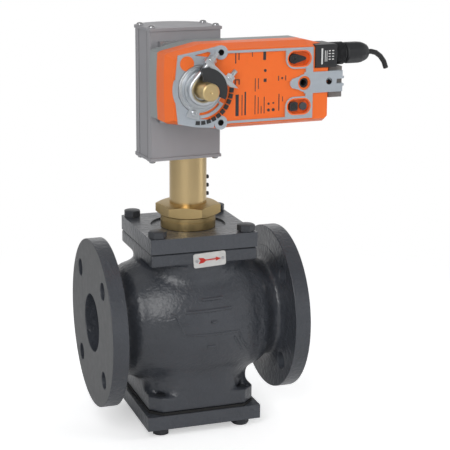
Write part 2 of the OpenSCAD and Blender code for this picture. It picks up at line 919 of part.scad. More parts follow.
module drive_rack() {
    tip = rack_pitch_x - addendum_share * rack_module;
    foot = root_half_share;
    nose = tip_half_share;
    flank = [[-rack_half, -foot], [tip, -nose], [tip, nose], [-rack_half, foot]];
    color(STEEL) head() {
        facing(rack_d / 2, rack_d) polygon(concat(
            [[rack_half, rack_high], [rack_half, rack_low], [-rack_half, rack_low]],
            [for (k = [-rack_teeth_down:rack_teeth_up], f = flank)
                [f[0], shaft_z + (k + f[1] - 0.5) * rack_step]],
            [[-rack_half, rack_high]]));
        rod_z(stem_r, rack_low - coupling_in, coupling_in);
    }
}

module stem_coupling() {
    color(STEEL) head() ring_z(coupling_r, stem_r + fit_gap, rack_low - coupling_l, coupling_l);
}

// Actuator: outline of the housing, seen from the front, from the shaft axis. Each point gives the
// share of the left or right reach and the share of the half height.
act_left_shares = [[-1, -0.3], [-0.97, -0.78], [-0.88, -0.82], [0.6, -1]];
act_right_shares = [[0.975, -1], [1, -0.93], [1, 0.86], [0.83, 1]];
act_top_shares = [[0.2, 1], [-0.88, 0.82], [-0.97, 0.78], [-1, 0.3]];
function act_shape(inset) = let (l = act_left - inset, r = act_right - inset, h = act_half - inset)
    concat([for (p = act_left_shares) [p[0] * l, p[1] * h]],
        [for (p = act_right_shares) [p[0] * r, p[1] * h]],
        [for (p = act_top_shares) [p[0] * l, p[1] * h]]);

module act_plate(inset, front, t) {
    facing(front, t) polygon(act_shape(inset));
}

module at_screw_holes() {
    at_shaft() for (side = [-1, 1]) translate([screw_hole_x, 0, side * screw_hole_z]) children();
}

module mounting_plate() {
    color(STEEL) head() difference() {
        at_shaft() facing(act_back, mount_gap) translate([-plate_side, -plate_half])
            square([plate_side + screw_hole_x + 2 * screw_boss_r, 2 * plate_half]);
        at_shaft() rod_y(shaft_r + loose_gap, act_back + over, mount_gap + 2 * over);
        at_screw_holes() rod_y(screw_r + fit_gap, act_back + over, mount_gap + 2 * over);
    }
}

module mounting_screws() {
    front = act_face - screw_sunk;
    color(DARK_STEEL) head() at_screw_holes() {
        rod_y(screw_head_r, front, screw_head_h);
        rod_y(screw_r, front, front - case_front + screw_reach);
    }
}

module rear_housing() {
    color(HOUSING_GREY) head() difference() {
        union() {
            difference() {
                at_shaft() act_plate(0, act_split, rear_d);
                at_shaft() act_plate(act_wall, act_split + over, rear_d - act_wall + over);
            }
            at_screw_holes() rod_y(screw_boss_r, act_split, rear_d);
        }
        at_shaft() rod_y(hub_r_outer + loose_gap, act_split + over, rear_d + 2 * over);
        at_screw_holes() rod_y(screw_r + fit_gap, act_split + over, rear_d + 2 * over);
    }
}

module pocket_shape(half, r) {
    for (side = [-1, 1]) translate([side * (half - r), 0]) circle(r);
    translate([r - half, -r]) square([2 * (half - r), 2 * r]);
}

// Raised trim on the face: a pad behind the clamp, a border, rims round the pockets and a tongue.
pad_shares = [[-0.65, 0], [-0.56, -0.79], [-0.13, -0.885], [0.34, -0.93], [0.36, -0.75], [0, -0.7], [0, 0],
    [0.3, 0.69], [0.36, 0.75], [0.28, 0.93], [-0.56, 0.79]];
lozenge_shares = [[-0.16, 0.78], [0.27, 0.865], [0.22, 0.72]];
drop_shares = [[-0.5, 0.8], [-1.55, 0.52], [-1.8, 0.2], [-1.8, -0.2], [-1.55, -0.52], [-0.5, -0.8]];

module share_shape(shares, size) {
    polygon([for (p = shares) p * size]);
}

module border(low) {
    translate([screw_hole_x, low]) square([bezel_right - screw_hole_x, bezel_w]);
}

module rim_shape(z, end) {
    rim_half = pocket_half + bezel_rim;
    translate([controls_x, z]) pocket_shape(rim_half, pocket_r + bezel_rim);
    translate([controls_x - rim_half, min(z, end)])
        square([bezel_right - controls_x + rim_half, abs(end - z)]);
}

module trim_shape() {
    share_shape(pad_shares, act_half);
    sector_shape(well_r, trim_ring_r, trim_ring_from, trim_ring_to, trim_ring_steps);
    border(bezel_high - bezel_w);
    border(bezel_low);
    for (side = [-1, 1]) translate([screw_hole_x, side * screw_hole_z]) circle(lug_r);
    rim_shape(lever_z, bezel_high);
    rim_shape(knob_z, bezel_low);
    translate([bezel_right - bezel_bar_w, bezel_low]) square([bezel_bar_w, bezel_high - bezel_low]);
    translate([crank_x, 0]) circle(crank_trim_r);
    translate([crank_x, 0]) share_shape(drop_shares, crank_trim_r);
    translate([crank_x, -tongue_h / 2]) square([act_right - crank_x - bevel - over, tongue_h]);
}

module control_pockets(front, depth) {
    translate([controls_x, 0, lever_z]) facing(front, depth) pocket_shape(pocket_half, pocket_r);
    translate([controls_x, 0, knob_z]) facing(front, depth) pocket_shape(pocket_half, pocket_r);
}

module control_hole(x, z) {
    translate([x, 0, z]) rod_y(lever_pin_r + loose_gap, act_face + over, face_wall + 2 * over);
}

module connector_space(gap) {
    half = plug_h / 2 + gap;
    translate([conn_x - gap, -act_face - conn_left, conn_z - half])
        cube([act_right, conn_left + act_face - act_split - bezel_h, 2 * half]);
}

module tongue_space() {
    translate([act_right - bevel - over, -bezel_face, -tongue_h / 2])
        cube([tongue_l + bevel + over, tongue_back, tongue_h]);
}

module front_cover() {
    color(ORANGE) head() difference() {
        union() {
            difference() {
                union() {
                    at_shaft() act_plate(0, cover_rim, cover_rim - act_split);
                    at_shaft() hull() {
                        act_plate(0, cover_rim, run_gap);
                        act_plate(bevel, act_face, run_gap);
                    }
                }
                at_shaft() act_plate(act_wall, cover_rim, cover_rim - act_split + over);
                at_shaft() act_plate(act_wall + bevel, act_face - face_wall, bevel_d);
            }
            at_screw_holes() rod_y(screw_boss_r, act_face - over, front_d - over);
        }
        at_shaft() {
            rod_y(well_r, act_face + over, face_wall + 2 * over);
            control_pockets(act_face + over, pocket_d + over);
            control_hole(controls_x - lever_in, lever_z);
            control_hole(controls_x - knob_in, knob_z);
            control_hole(controls_x + knob_in, knob_z);
            translate([crank_x, 0, 0]) rod_y(crank_hub_r + loose_gap, act_face + over, face_wall + 2 * over);
            connector_space(loose_gap);
            tongue_space();
        }
        at_screw_holes() {
            rod_y(screw_hole_r, act_face + over, screw_sunk + screw_head_h + over);
            rod_y(screw_r + fit_gap, act_face + over, front_d + 2 * over);
        }
    }
}

module face_bezel() {
    tongue_end = act_right + tongue_l;
    color(BEZEL_GREY) head() at_shaft() difference() {
        union() {
            facing(bezel_face, bezel_h) difference() {
                trim_shape();
                share_shape(lozenge_shares, act_half);
                translate([disc_x, disc_z]) circle(disc_r + fit_gap);
                circle(well_r);
                sector_shape(well_r - over, slot_out_r, slot_from, slot_to, trim_ring_steps);
                for (side = [-1, 1]) translate([screw_hole_x, side * screw_hole_z]) circle(screw_hole_r);
                translate([crank_x, 0]) circle(crank_ring_r);
            }
            tongue_space();
            for (side = [-1, 1])
                translate([tongue_end, -bezel_face, side * tongue_tip_at - tongue_tip_w / 2])
                cube([tongue_tip_l, tongue_back, tongue_tip_w]);
        }
        control_pockets(bezel_face + over, bezel_h + 2 * over);
        band_marks_at(bezel_face + over, bezel_h + 2 * over, run_gap);
        connector_space(loose_gap);
        facing(bezel_face + over, tongue_back + 2 * over) {
            translate([tongue_end - tongue_slot_l, -tongue_slot_w / 2])
                square([tongue_slot_l + over, tongue_slot_w]);
            translate([tongue_end - tongue_hole_in, 0]) circle(tongue_hole_r);
        }
    }
}

module cap_disc() {
    color(ORANGE) head() at_shaft() difference() {
        translate([disc_x, 0, disc_z]) rod_y(disc_r, act_face + disc_h, disc_h);
        rod_y(well_r, act_face + disc_h + over, disc_h + 2 * over);
    }
}

// Half-open ring sector in the X-Z plane.
module sector_shape(r_in, r_out, from, to, steps) {
    polygon(concat([for (k = [0:steps]) let (a = from + (to - from) * k / steps) r_out * [cos(a), sin(a)]],
        [for (k = [steps:-1:0]) let (a = from + (to - from) * k / steps) r_in * [cos(a), sin(a)]]));
}

module band_marks_at(front, t, gap) {
    step = (band_end - band_start) / band_marks;
    gap_turn = gap / band_in_r * 180 / PI;
    for (k = [0:band_marks - 1]) {
        mid = band_start + (k + 0.5) * step;
        half = abs(step) * band_share / 2 + gap_turn;
        facing(front, t) sector_shape(band_in_r - gap, band_out_r + gap, mid - half, mid + half, band_steps);
    }
}

module scale_band() {
    color(BLACK) head() at_shaft() band_marks_at(bezel_face + band_rise, bezel_h + band_rise, 0);
}

// A flat spiral strip from the hub out to the barrel.
module spring_shape() {
    turn_steps = spring_turns * spring_steps;
    first_r = hub_r_outer + spring_t;
    last_r = barrel_r_out - barrel_t - spring_t;
    function at(k, side) = (first_r + side * spring_t / 2 + (last_r - first_r) * k / turn_steps)
        * [cos(k * 360 / spring_steps), sin(k * 360 / spring_steps)];
    polygon(concat([for (k = [0:turn_steps]) at(k, 1)], [for (k = [turn_steps:-1:0]) at(k, -1)]));
}

module return_spring() {
    back_gap = 4 * barrel_t;
    color(STEEL) head() at_shaft()
        facing(cover_rim - 2 * barrel_t, cover_rim - barrel_back - back_gap) spring_shape();
}

module spring_barrel() {
    len = cover_rim - barrel_back;
    color(ZINC) head() at_shaft() difference() {
        rod_y(barrel_r_out, cover_rim, len);
        rod_y(barrel_r_out - barrel_t, cover_rim + over, len - barrel_t + over);
        rod_y(hub_r_outer + loose_gap, cover_rim + over, len + 2 * over);
    }
}

// Plate that carries the front ends of the gear arbors and the motor.
module gear_plate() {
    low = -act_half;
    plate_left = barrel_r_out + gear_t / 2;
    color(STEEL) head() at_shaft() difference() {
        facing(plate_front, gear_plate_t) intersection() {
            polygon(act_shape(act_wall + loose_gap));
            translate([plate_left, low]) square([gear_plate_right - plate_left, -2 * low]);
        }
        for (x = [second_x, third_x])
            translate([x, 0, 0]) rod_y(arbor_r + run_gap, plate_front + over, gear_t);
        translate([crank_x, 0, 0]) rod_y(crank_hub_r + loose_gap, plate_front + over, gear_t);
        translate([crank_x, 0, -motor_drop]) rod_y(arbor_r + run_gap, plate_front + over, gear_t);
    }
}

module motor() {
    color(ZINC) head() at_shaft() translate([crank_x, 0, -motor_drop])
        rod_y(motor_r, plate_front + motor_l, motor_l);
}

module circuit_board() {
    back = act_face - face_wall;
    color(BOARD_GREEN) head() at_shaft() translate([board_x, 0, -board_h / 2]) {
        translate([-board_w / 2, -back, 0]) cube([board_w, board_t, board_h]);
        for (k = [0:chip_count - 1])
            translate([-chip_w / 2, board_t - back, (k + 1 / 2) * board_h / chip_count - chip_w / 2])
                cube([chip_w, chip_t, chip_w]);
    }
}

// Drive train.
module drive_shaft() {
    color(BRASS) head() at_shaft() rod_y(shaft_r, shaft_front, shaft_front + shaft_back);
}

module rack_pinion() {
    color(STEEL) head() at_shaft() difference() {
        facing(pinion_w / 2, pinion_w) gear_shape(rack_pinion_teeth, rack_module, 0);
        rod_y(shaft_r + fit_gap, pinion_w, 2 * pinion_w);
    }
}

module drive_hub() {
    back = act_back + act_wall / 2;
    color(ZINC) head() at_shaft() difference() {
        union() {
            rod_y(hub_r_outer, bezel_face, bezel_face - back);
            rod_y(hub_ring_r, bezel_face, 2 * bezel_h);
            rod_y(hub_step_r, hub_step_front, hub_step_front - bezel_face + over);
        }
        rod_y(shaft_r + fit_gap, hub_step_front + over, act_face);
    }
}

module output_gear() {
    color(STEEL) head() at_shaft() difference() {
        wheel(output_teeth, 0, layer_one);
        rod_y(hub_r_outer + fit_gap, layer_one + over, gear_t + 2 * over);
    }
}

// The clamp is drawn with its legs along +x and then turned.
module clamp_turn() {
    at_shaft() rotate([0, -clamp_angle, 0]) children();
}

module clamp_legs() {
    for (side = [-1, 1]) translate([0, 0, side * clamp_leg_at]) children();
}

module clamp_u_bolt() {
    color(ZINC) head() clamp_turn() translate([0, -clamp_y, 0]) {
        rotate([90, 90, 0]) rotate_extrude(angle = -180) translate([clamp_leg_at, 0]) circle(clamp_r);
        clamp_legs() rod_x(clamp_r, 0, clamp_leg_l);
    }
}

module clamp_bridge() {
    half = clamp_leg_at + clamp_bolt_d;
    far = bridge_at + bridge_t;
    tip = pointer_r * [cos(clamp_angle), -sin(clamp_angle)];
    color(ZINC) head() clamp_turn() difference() {
        facing(clamp_y + bridge_w / 2, bridge_w)
            polygon([[bridge_at, half], [far, half], [far, -half], tip, [bridge_at, -half]]);
        translate([0, -clamp_y, 0]) clamp_legs() rod_x(clamp_r + fit_gap, 0, clamp_leg_l);
    }
}

module clamp_pad() {
    color(BLACK) head() at_shaft() facing(pad_at + clamp_pad_t, clamp_pad_t)
        sector_shape(clamp_pad_in, clamp_pad_out, clamp_pad_from, clamp_pad_to, 16);
}

module clamp_nuts() {
    color(ZINC) head() clamp_turn() translate([0, -clamp_y, 0]) clamp_legs() difference() {
        translate([bridge_at + bridge_t, 0, 0]) rotate([0, 90, 0]) hex_head(nut_af / 2 / cos(30), nut_t);
        rod_x(clamp_r + fit_gap, 0, clamp_leg_l);
    }
}

module arbor(front, back) {
    rod_y(arbor_r, front, front - back);
}

module first_gear() {
    color(STEEL) head() at_shaft() translate([first_x, 0, 0]) {
        wheel(small_teeth, 180 / small_teeth, layer_one);
        wheel(first_teeth, 0, layer_two);
        arbor(layer_two + over, act_back + act_wall + loose_gap);
    }
}

module second_gear() {
    color(STEEL) head() at_shaft() translate([second_x, 0, 0]) {
        wheel(small_teeth, 180 / small_teeth, layer_two);
        wheel(second_teeth, 0, layer_three);
        arbor(plate_front, act_back + act_wall + loose_gap);
    }
}

module third_gear() {
    color(STEEL) head() at_shaft() translate([third_x, 0, 0]) {
        wheel(link_teeth, 180 / link_teeth, layer_three);
        wheel(third_teeth, 0, layer_two);
        arbor(plate_front, act_back + act_wall + loose_gap);
    }
}

module crank_gear() {
    front = act_face - bezel_h;
    color(BLACK) head() at_shaft() translate([crank_x, 0, 0]) difference() {
        union() {
            wheel(link_teeth, 180 / link_teeth, layer_two);
            rod_y(crank_hub_r, front, front - act_back - act_wall - loose_gap);
        }
        translate([0, -front - over, 0]) rotate([-90, 0, 0])
            hex_head(crank_hex_w / 2 / cos(30), crank_hex_d + over);
    }
}

module motor_pinion() {
    color(BRASS) head() at_shaft() translate([crank_x, 0, -motor_drop]) {
        wheel(small_teeth, 90, layer_two);
        arbor(plate_front - loose_gap, act_back + act_wall + loose_gap);
    }
}

// Controls on the face.
module end_stop() {
    front = bezel_face + stop_t + run_gap;
    sweep = asin(stop_half / stop_r);
    color(ZINC) head() at_shaft() {
        facing(front, stop_t)
            sector_shape(stop_in_r, stop_r + stop_half, stop_angle - sweep, stop_angle + sweep, band_steps);
        translate([stop_r * cos(stop_angle), 0, stop_r * sin(stop_angle)])
            rod_y(stop_screw_r, front + stop_screw_h, stop_screw_h);
    }
}

module lock_lever() {
    front = act_face - pocket_d + run_gap + lever_t;
    tip_x = lever_l - lever_tip_r;
    color(BLACK) head() at_shaft() translate([controls_x - lever_in, 0, lever_z]) {
        facing(front, lever_t) {
            circle(lever_r);
            translate([tip_x, 0]) circle(lever_tip_r);
            polygon([[0, lever_r], [tip_x, lever_tip_r], [tip_x, -lever_tip_r], [0, -lever_r]]);
        }
        rod_y(lever_pin_r, front - lever_t, pin_l);
    }
}

module setting_knob() {
    front = act_face - pocket_d + run_gap + knob_t;
    color(BLACK) head() at_shaft() translate([controls_x - knob_in, 0, knob_z]) {
        facing(front, knob_t) intersection() {
            circle(knob_corner_r);
            square(2 * knob_half, center = true);
        }
        rod_y(lever_pin_r, front - knob_t, pin_l);
    }
}

module push_button() {
    front = act_face - pocket_d + loose_gap + button_travel + button_t;
    color(HOUSING_GREY) head() at_shaft() translate([controls_x + knob_in, 0, knob_z]) {
        rod_y(button_r, front, button_t);
        rod_y(button_pin_r, front - button_t, pin_l);
    }
}

module side_lug() {
    color(HOUSING_GREY) head() at_shaft() translate([act_right, lug_plate_back - act_face, -lug_plate_low])
        cube([lug_plate_w, lug_plate_d, lug_plate_low + lug_plate_high]);
}

module connector_plug() {
    right = conn_x + conn_left;
    step = rib_l / rib_count;
    color(BLACK) head() at_shaft() {
        translate([conn_x, -conn_face, conn_z - plug_h / 2]) cube([conn_left, conn_back, plug_h]);
        translate([0, conn_axis_y, conn_z]) {
            rod_x(rib_r - rib_groove, right - over, rib_l + over);
            for (k = [0:rib_count - 1]) rod_x(rib_r, right + k * step, step / 2);
        }
    }
}

module cable_gland() {
    left = conn_x + conn_left + rib_l;
    color(BLACK) head() at_shaft() translate([0, conn_axis_y, conn_z])
        rod_x(gland_neck_r, left, neck_gap_l + gland_l / 2);
}

module gland_nut() {
    left = conn_x + conn_left + rib_l + neck_gap_l;
    color(BLACK) head() at_shaft() translate([0, conn_axis_y, conn_z]) difference() {
        union() {
            translate([left, 0, 0]) rotate([0, 90, 0])
                cylinder(r = gland_r, h = gland_l / 2, $fn = gland_flats);
            translate([left, 0, 0]) rotate([0, 90, 0]) cylinder(r1 = gland_r, r2 = gland_tip_r, h = gland_l);
        }
        rod_x(gland_neck_r + fit_gap, left - over, gland_l / 2 + over);
    }
}

// The cable is one tube swept along its route, square to the gland at its start.
function unit(v) = v / norm(v);
function cable_dir(k) = k == 0 ? unit(cable_route[1] - cable_route[0])
    : k == len(cable_route) - 1 ? unit(cable_route[k] - cable_route[k - 1])
    : unit(unit(cable_route[k + 1] - cable_route[k]) + unit(cable_route[k] - cable_route[k - 1]));

module cable_stub() {
    n = cable_sides;
    rings = len(cable_route);
    points = [for (k = [0:rings - 1]) let (d = cable_dir(k), u = unit(cross(d, [0, 1, 0])), v = cross(d, u))
        for (j = [0:n - 1]) cable_route[k] + cable_d / 2 * (cos(j * 360 / n) * u + sin(j * 360 / n) * v)];
    faces = concat([[for (j = [n - 1:-1:0]) j]],
        [for (k = [0:rings - 2], j = [0:n - 1])
            let (a = k * n + j, b = k * n + (j + 1) % n) [a, b, b + n, a + n]],
        [[for (j = [0:n - 1]) (rings - 1) * n + j]]);
    color(BLACK) head() polyhedron(points, faces);
}

valve_body();
seat_ring();
valve_plug();
valve_stem();
stem_guide();
bonnet_plate();
bonnet_gasket();
bonnet_bolts();
bottom_cover();
bottom_gasket();
bottom_bolts();
flow_arrow_plate();
plate_rivets();
packing_nut();
packing_rings();
neck_tube();
neck_set_screws();
neck_lock_nut();
linkage_case();
case_top_cap();
case_bottom_cap();
case_screws();
shaft_bushes();
rack_guide();
drive_rack();
stem_coupling();
mounting_plate();
mounting_screws();
rear_housing();
front_cover();
face_bezel();
cap_disc();
scale_band();
return_spring();
spring_barrel();
gear_plate();
motor();
circuit_board();
drive_shaft();
rack_pinion();
drive_hub();
output_gear();
clamp_u_bolt();
clamp_bridge();
clamp_pad();
clamp_nuts();
first_gear();
second_gear();
third_gear();
crank_gear();
motor_pinion();
end_stop();
lock_lever();
setting_knob();
push_button();
side_lug();
connector_plug();
cable_gland();
gland_nut();
cable_stub();
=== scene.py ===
"""A flanged globe valve with its linkage case and rotary actuator, dressed round its CAD frame."""

import json
from math import acos, atan2, ceil, cos, degrees, hypot, pi, radians, sin, sqrt, tan

import bmesh
import bpy
import numpy as np
from bpy.props import FloatProperty, FloatVectorProperty, IntProperty, PointerProperty
from mathutils import Matrix, Vector


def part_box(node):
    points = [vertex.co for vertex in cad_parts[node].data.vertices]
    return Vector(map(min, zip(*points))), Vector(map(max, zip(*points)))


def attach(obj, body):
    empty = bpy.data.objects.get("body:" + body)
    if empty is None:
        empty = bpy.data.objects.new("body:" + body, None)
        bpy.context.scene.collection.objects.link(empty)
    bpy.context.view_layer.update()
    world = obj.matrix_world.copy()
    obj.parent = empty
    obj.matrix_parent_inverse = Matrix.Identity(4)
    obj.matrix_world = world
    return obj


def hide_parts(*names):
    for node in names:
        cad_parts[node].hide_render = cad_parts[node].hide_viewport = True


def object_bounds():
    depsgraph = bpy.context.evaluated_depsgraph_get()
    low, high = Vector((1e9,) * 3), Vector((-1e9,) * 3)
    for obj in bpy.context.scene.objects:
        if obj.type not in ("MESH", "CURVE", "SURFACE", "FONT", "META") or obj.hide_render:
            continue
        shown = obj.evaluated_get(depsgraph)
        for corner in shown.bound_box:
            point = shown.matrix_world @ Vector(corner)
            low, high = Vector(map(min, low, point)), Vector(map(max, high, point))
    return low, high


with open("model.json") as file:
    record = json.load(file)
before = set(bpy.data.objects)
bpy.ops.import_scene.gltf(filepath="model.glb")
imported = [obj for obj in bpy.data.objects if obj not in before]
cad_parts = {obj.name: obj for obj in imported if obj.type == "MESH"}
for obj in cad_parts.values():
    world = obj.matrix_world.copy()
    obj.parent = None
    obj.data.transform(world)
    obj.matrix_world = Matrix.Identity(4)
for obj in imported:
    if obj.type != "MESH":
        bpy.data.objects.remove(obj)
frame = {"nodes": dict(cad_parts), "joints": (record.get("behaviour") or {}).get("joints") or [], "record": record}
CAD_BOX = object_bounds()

bl_info = {
    "name": "Flanged globe valve",
    "version": (1, 0, 0),
    "blender": (4, 5, 0),
    "location": "3D View > Sidebar > Globe valve",
    "description": "Builds the visible pieces of a globe valve and its actuator round their CAD frame",
    "category": "Add Mesh",
}

MM = 0.001


# Frames: the valve's own, from the stem axis, and the head's, from the drive shaft's axis. Both are
# in millimetres, x to the right, y away from the viewer and z up.


def joint(name):
    """The frame's joint of that name."""
    return next(j for j in frame["joints"] if j["name"] == name)


def valve_place():
    """Matrix from millimetres round the stem and the pipe axis to the row frame."""
    low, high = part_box("valve_body")
    return Matrix.Translation(((low.x + high.x) / 2, 0, 0)) @ Matrix.Scale(MM, 4)


def head_place():
    """Matrix from millimetres round the drive shaft to the row frame."""
    drive = joint("drive_turn")
    turn = atan2(-drive["axis"][0], drive["axis"][1])
    return Matrix.Translation(drive["pos_m"]) @ Matrix.Rotation(turn, 4, "Z") @ Matrix.Scale(MM, 4)


VALVE = valve_place()
HEAD = head_place()


def points_of(node, place):
    """A CAD node's points, in millimetres in that place."""
    back = np.array(place.inverted())
    points = np.array([v.co for v in frame["nodes"][node].data.vertices])
    return points @ back[:3, :3].T + back[:3, 3]


def reach(node, place):
    """Lowest and highest corner of a CAD node, in millimetres in that place."""
    points = points_of(node, place)
    return Vector(points.min(0)), Vector(points.max(0))


# Sizes and colours that a user would change.


def size(label, default, about):
    """A length, written here in millimetres and kept in metres."""
    return FloatProperty(name=label, description=about, default=default * MM, min=0.0,
                         subtype="DISTANCE", unit="LENGTH", precision=5)


def tint(label, display, about):
    """A colour, written as it shows on a screen, from 0 to 255, and kept linear."""
    linear = [(v / 255 / 12.92) if v < 11 else ((v / 255 + 0.055) / 1.055) ** 2.4 for v in display]
    return FloatVectorProperty(name=label, description=about, default=linear, min=0.0, max=1.0,
                               subtype="COLOR", size=3)


class ValveSizes(bpy.types.PropertyGroup):
    """Sizes of the valve's visible detail"""

    cast_grid: size("Casting grid", 1.5, "Spacing of the casting's mesh")
    peel_depth: size("Paint relief", 0.16, "Depth of the orange-peel relief on cast faces")
    peel_width: size("Paint relief width", 4.0, "Width of one wrinkle of the orange-peel relief")
    fillet_passes: IntProperty(name="Fillet passes", description="Rounds of filling that make the "
                               "casting's inside fillets", default=70, min=1, max=200)
    edge_round: size("Casting edge", 1.3, "Rounding of the bonnet's and the bottom cover's edges")
    bolt_width: size("Bolt width", 17.0, "Width across the flats of the bolt heads")


class HeadSizes(bpy.types.PropertyGroup):
    """Sizes of the linkage case's and the actuator's visible detail"""

    cover_round: size("Cover edge", 0.9, "Rounding of the front cover's edges")
    case_round: size("Case edge", 0.9, "Rounding of the linkage case's edges")
    trim_round: size("Trim edge", 0.3, "Rounding of the raised trim's edges")
    cable_width: size("Cable", 5.6, "Diameter of the cable")


class FinishColours(bpy.types.PropertyGroup):
    """Colours of the finishes"""

    iron: tint("Painted iron", (62, 65, 71), "Black enamel on the castings")
    machined: tint("Machined faces", (84, 85, 86), "Flange faces under thin paint")
    black_steel: tint("Black steel", (52, 54, 58), "Bolts and screws")
    brass: tint("Brass", (196, 172, 128), "Nut, neck and drive shaft")
    brass_nut: tint("Nut brass", (190, 166, 118), "Packing nut")
    brass_light: tint("Bright brass", (226, 200, 148), "End of the drive shaft")
    bronze: tint("Bronze", (176, 136, 84), "Seat, plug and bushes")
    steel: tint("Steel", (178, 178, 180), "Plain machined steel")
    zinc: tint("Zinc plate", (206, 210, 214), "Clamp, hub and end stop")
    silver: tint("Silver plate", (212, 211, 208), "Flow arrow plate")
    arrow_red: tint("Arrow red", (196, 44, 34), "Printed flow arrow")
    case_grey: tint("Case grey", (150, 149, 152), "Linkage case")
    orange: tint("Orange", (255, 115, 42), "Front cover")
    trim_grey: tint("Trim grey", (168, 175, 182), "Raised trim")
    housing_grey: tint("Housing grey", (146, 151, 151), "Rear housing")
    black_plastic: tint("Black plastic", (40, 41, 43), "Levers, connector and gland")
    # Painted shade: the dark of the shaded grooves beside the case's beads.
    groove: tint("Groove grey", (84, 84, 87), "Shaded grooves of the linkage case")
    print_white: tint("White print", (222, 222, 220), "Bars on the connector")
    button_grey: tint("Button grey", (70, 72, 76), "Push button")
    lug_grey: tint("Lug grey", (128, 124, 121), "Block beside the connector")
    board: tint("Board", (40, 96, 62), "Circuit board")
    jacket: tint("Cable jacket", (34, 34, 35), "Cable")


# Node groups that several finishes share. They put out colours, masks and heights only.


def new_group(name, inputs, outputs):
    """An empty shader group with those sockets: {name: (kind, default)} and {name: kind}."""
    group = bpy.data.node_groups.new(name, "ShaderNodeTree")
    for label, (kind, value) in inputs.items():
        made = group.interface.new_socket(label, in_out="INPUT", socket_type="NodeSocket" + kind)
        made.default_value = value
    for label, kind in outputs.items():
        group.interface.new_socket(label, in_out="OUTPUT", socket_type="NodeSocket" + kind)
    return group, group.nodes.new("NodeGroupInput"), group.nodes.new("NodeGroupOutput")


def wire(tree, made, links):
    """Links a node's inputs, by name or number, or sets the ones that are given as values."""
    for key, source in links.items():
        if isinstance(source, bpy.types.NodeSocket):
            tree.links.new(source, made.inputs[key])
        else:
            made.inputs[key].default_value = source


def add(tree, kind, links=None, **values):
    """A node with its plain settings and its inputs."""
    made = tree.nodes.new("ShaderNode" + kind)
    for key, value in values.items():
        setattr(made, key, value)
    wire(tree, made, links or {})
    return made


def maths(tree, operation, first, second=0.0, clamp=False):
    """The output of one Math node."""
    return add(tree, "Math", {0: first, 1: second}, operation=operation, use_clamp=clamp).outputs[0]


def relief_group():
    """Fine relief: two sizes of noise in the piece's own space, stretched along a chosen axis."""
    slow_share = 0.13
    group, given, put = new_group(
        "Fine relief",
        {"Width": ("Float", 4.0), "Stretch": ("Vector", (1.0, 1.0, 1.0)), "Detail": ("Float", 3.0)},
        {"Height": "Float", "Shade": "Float"})
    place = add(group, "TexCoord").outputs["Object"]
    per_metre = maths(group, "DIVIDE", 1000.0, given.outputs["Width"])
    stretched = add(group, "VectorMath", {0: place, 1: given.outputs["Stretch"]}, operation="MULTIPLY")
    large = add(group, "TexNoise", {"Vector": stretched.outputs[0], "Scale": per_metre,
                                    "Detail": given.outputs["Detail"], "Roughness": 0.55})
    slow = add(group, "TexNoise", {"Vector": stretched.outputs[0],
                                   "Scale": maths(group, "MULTIPLY", per_metre, slow_share), "Detail": 2.0})
    group.links.new(large.outputs["Fac"], put.inputs["Height"])
    group.links.new(slow.outputs["Fac"], put.inputs["Shade"])
    return group


def tone_group():
    """A colour made a little lighter and darker by a shade from 0 to 1."""
    group, given, put = new_group(
        "Uneven tone",
        {"Color": ("Color", (0.5, 0.5, 0.5, 1.0)), "Shade": ("Float", 0.5), "Amount": ("Float", 0.2)},
        {"Color": "Color"})
    swing = maths(group, "MULTIPLY", maths(group, "SUBTRACT", given.outputs["Shade"], 0.5),
                  given.outputs["Amount"])
    level = maths(group, "ADD", maths(group, "MULTIPLY", swing, 2.0), 1.0)
    scaled = add(group, "VectorMath", {0: given.outputs["Color"], "Scale": level}, operation="SCALE")
    group.links.new(scaled.outputs[0], put.inputs["Color"])
    return group


# How far the surface has to turn, from 0.5 when flat, before an edge wears or painted shade darkens a corner.
EDGE_FROM = 0.53
CORNER_SHADE_FROM = 0.485
WEAR_AND_SHADE_GAIN = 9.0


def wear_and_corner_shade_group():
    """Edges rubbed lighter, and painted shade that darkens the corners, from how sharply the surface turns."""
    group, given, put = new_group(
        "Edge wear",
        {"Color": ("Color", (0.5, 0.5, 0.5, 1.0)), "Edge": ("Color", (0.8, 0.8, 0.8, 1.0)),
         "Amount": ("Float", 0.5), "Corner": ("Float", 0.3)},
        {"Color": "Color"})
    bend = add(group, "NewGeometry").outputs["Pointiness"]
    worn = maths(group, "MULTIPLY", maths(group, "SUBTRACT", bend, EDGE_FROM), WEAR_AND_SHADE_GAIN, clamp=True)
    worn = maths(group, "MULTIPLY", worn, given.outputs["Amount"])
    # Painted shade: inside corners are darkened where shade would fall.
    deep = maths(group, "MULTIPLY", maths(group, "SUBTRACT", CORNER_SHADE_FROM, bend), WEAR_AND_SHADE_GAIN, clamp=True)
    deep = maths(group, "MULTIPLY", deep, given.outputs["Corner"])
    light = maths(group, "SUBTRACT", 1.0, deep)
    kept = add(group, "VectorMath", {0: given.outputs["Color"], "Scale": light}, operation="SCALE")
    # The colour sockets of a Mix node come after its number and vector ones.
    mixed = add(group, "Mix", {0: worn, 6: kept.outputs[0], 7: given.outputs["Edge"]}, data_type="RGBA")
    group.links.new(mixed.outputs[2], put.inputs["Color"])
    return group


GROUPS = {}
FINISHES = {}


def shared(name, make):
    """A node group, made the first time that a finish asks for it."""
    if name not in GROUPS:
        GROUPS[name] = make()
    return GROUPS[name]


def use(tree, group, **links):
    """A group placed in a material, with its inputs set or linked."""
    made = add(tree, "Group", node_tree=group)
    wire(tree, made, links)
    return made.outputs


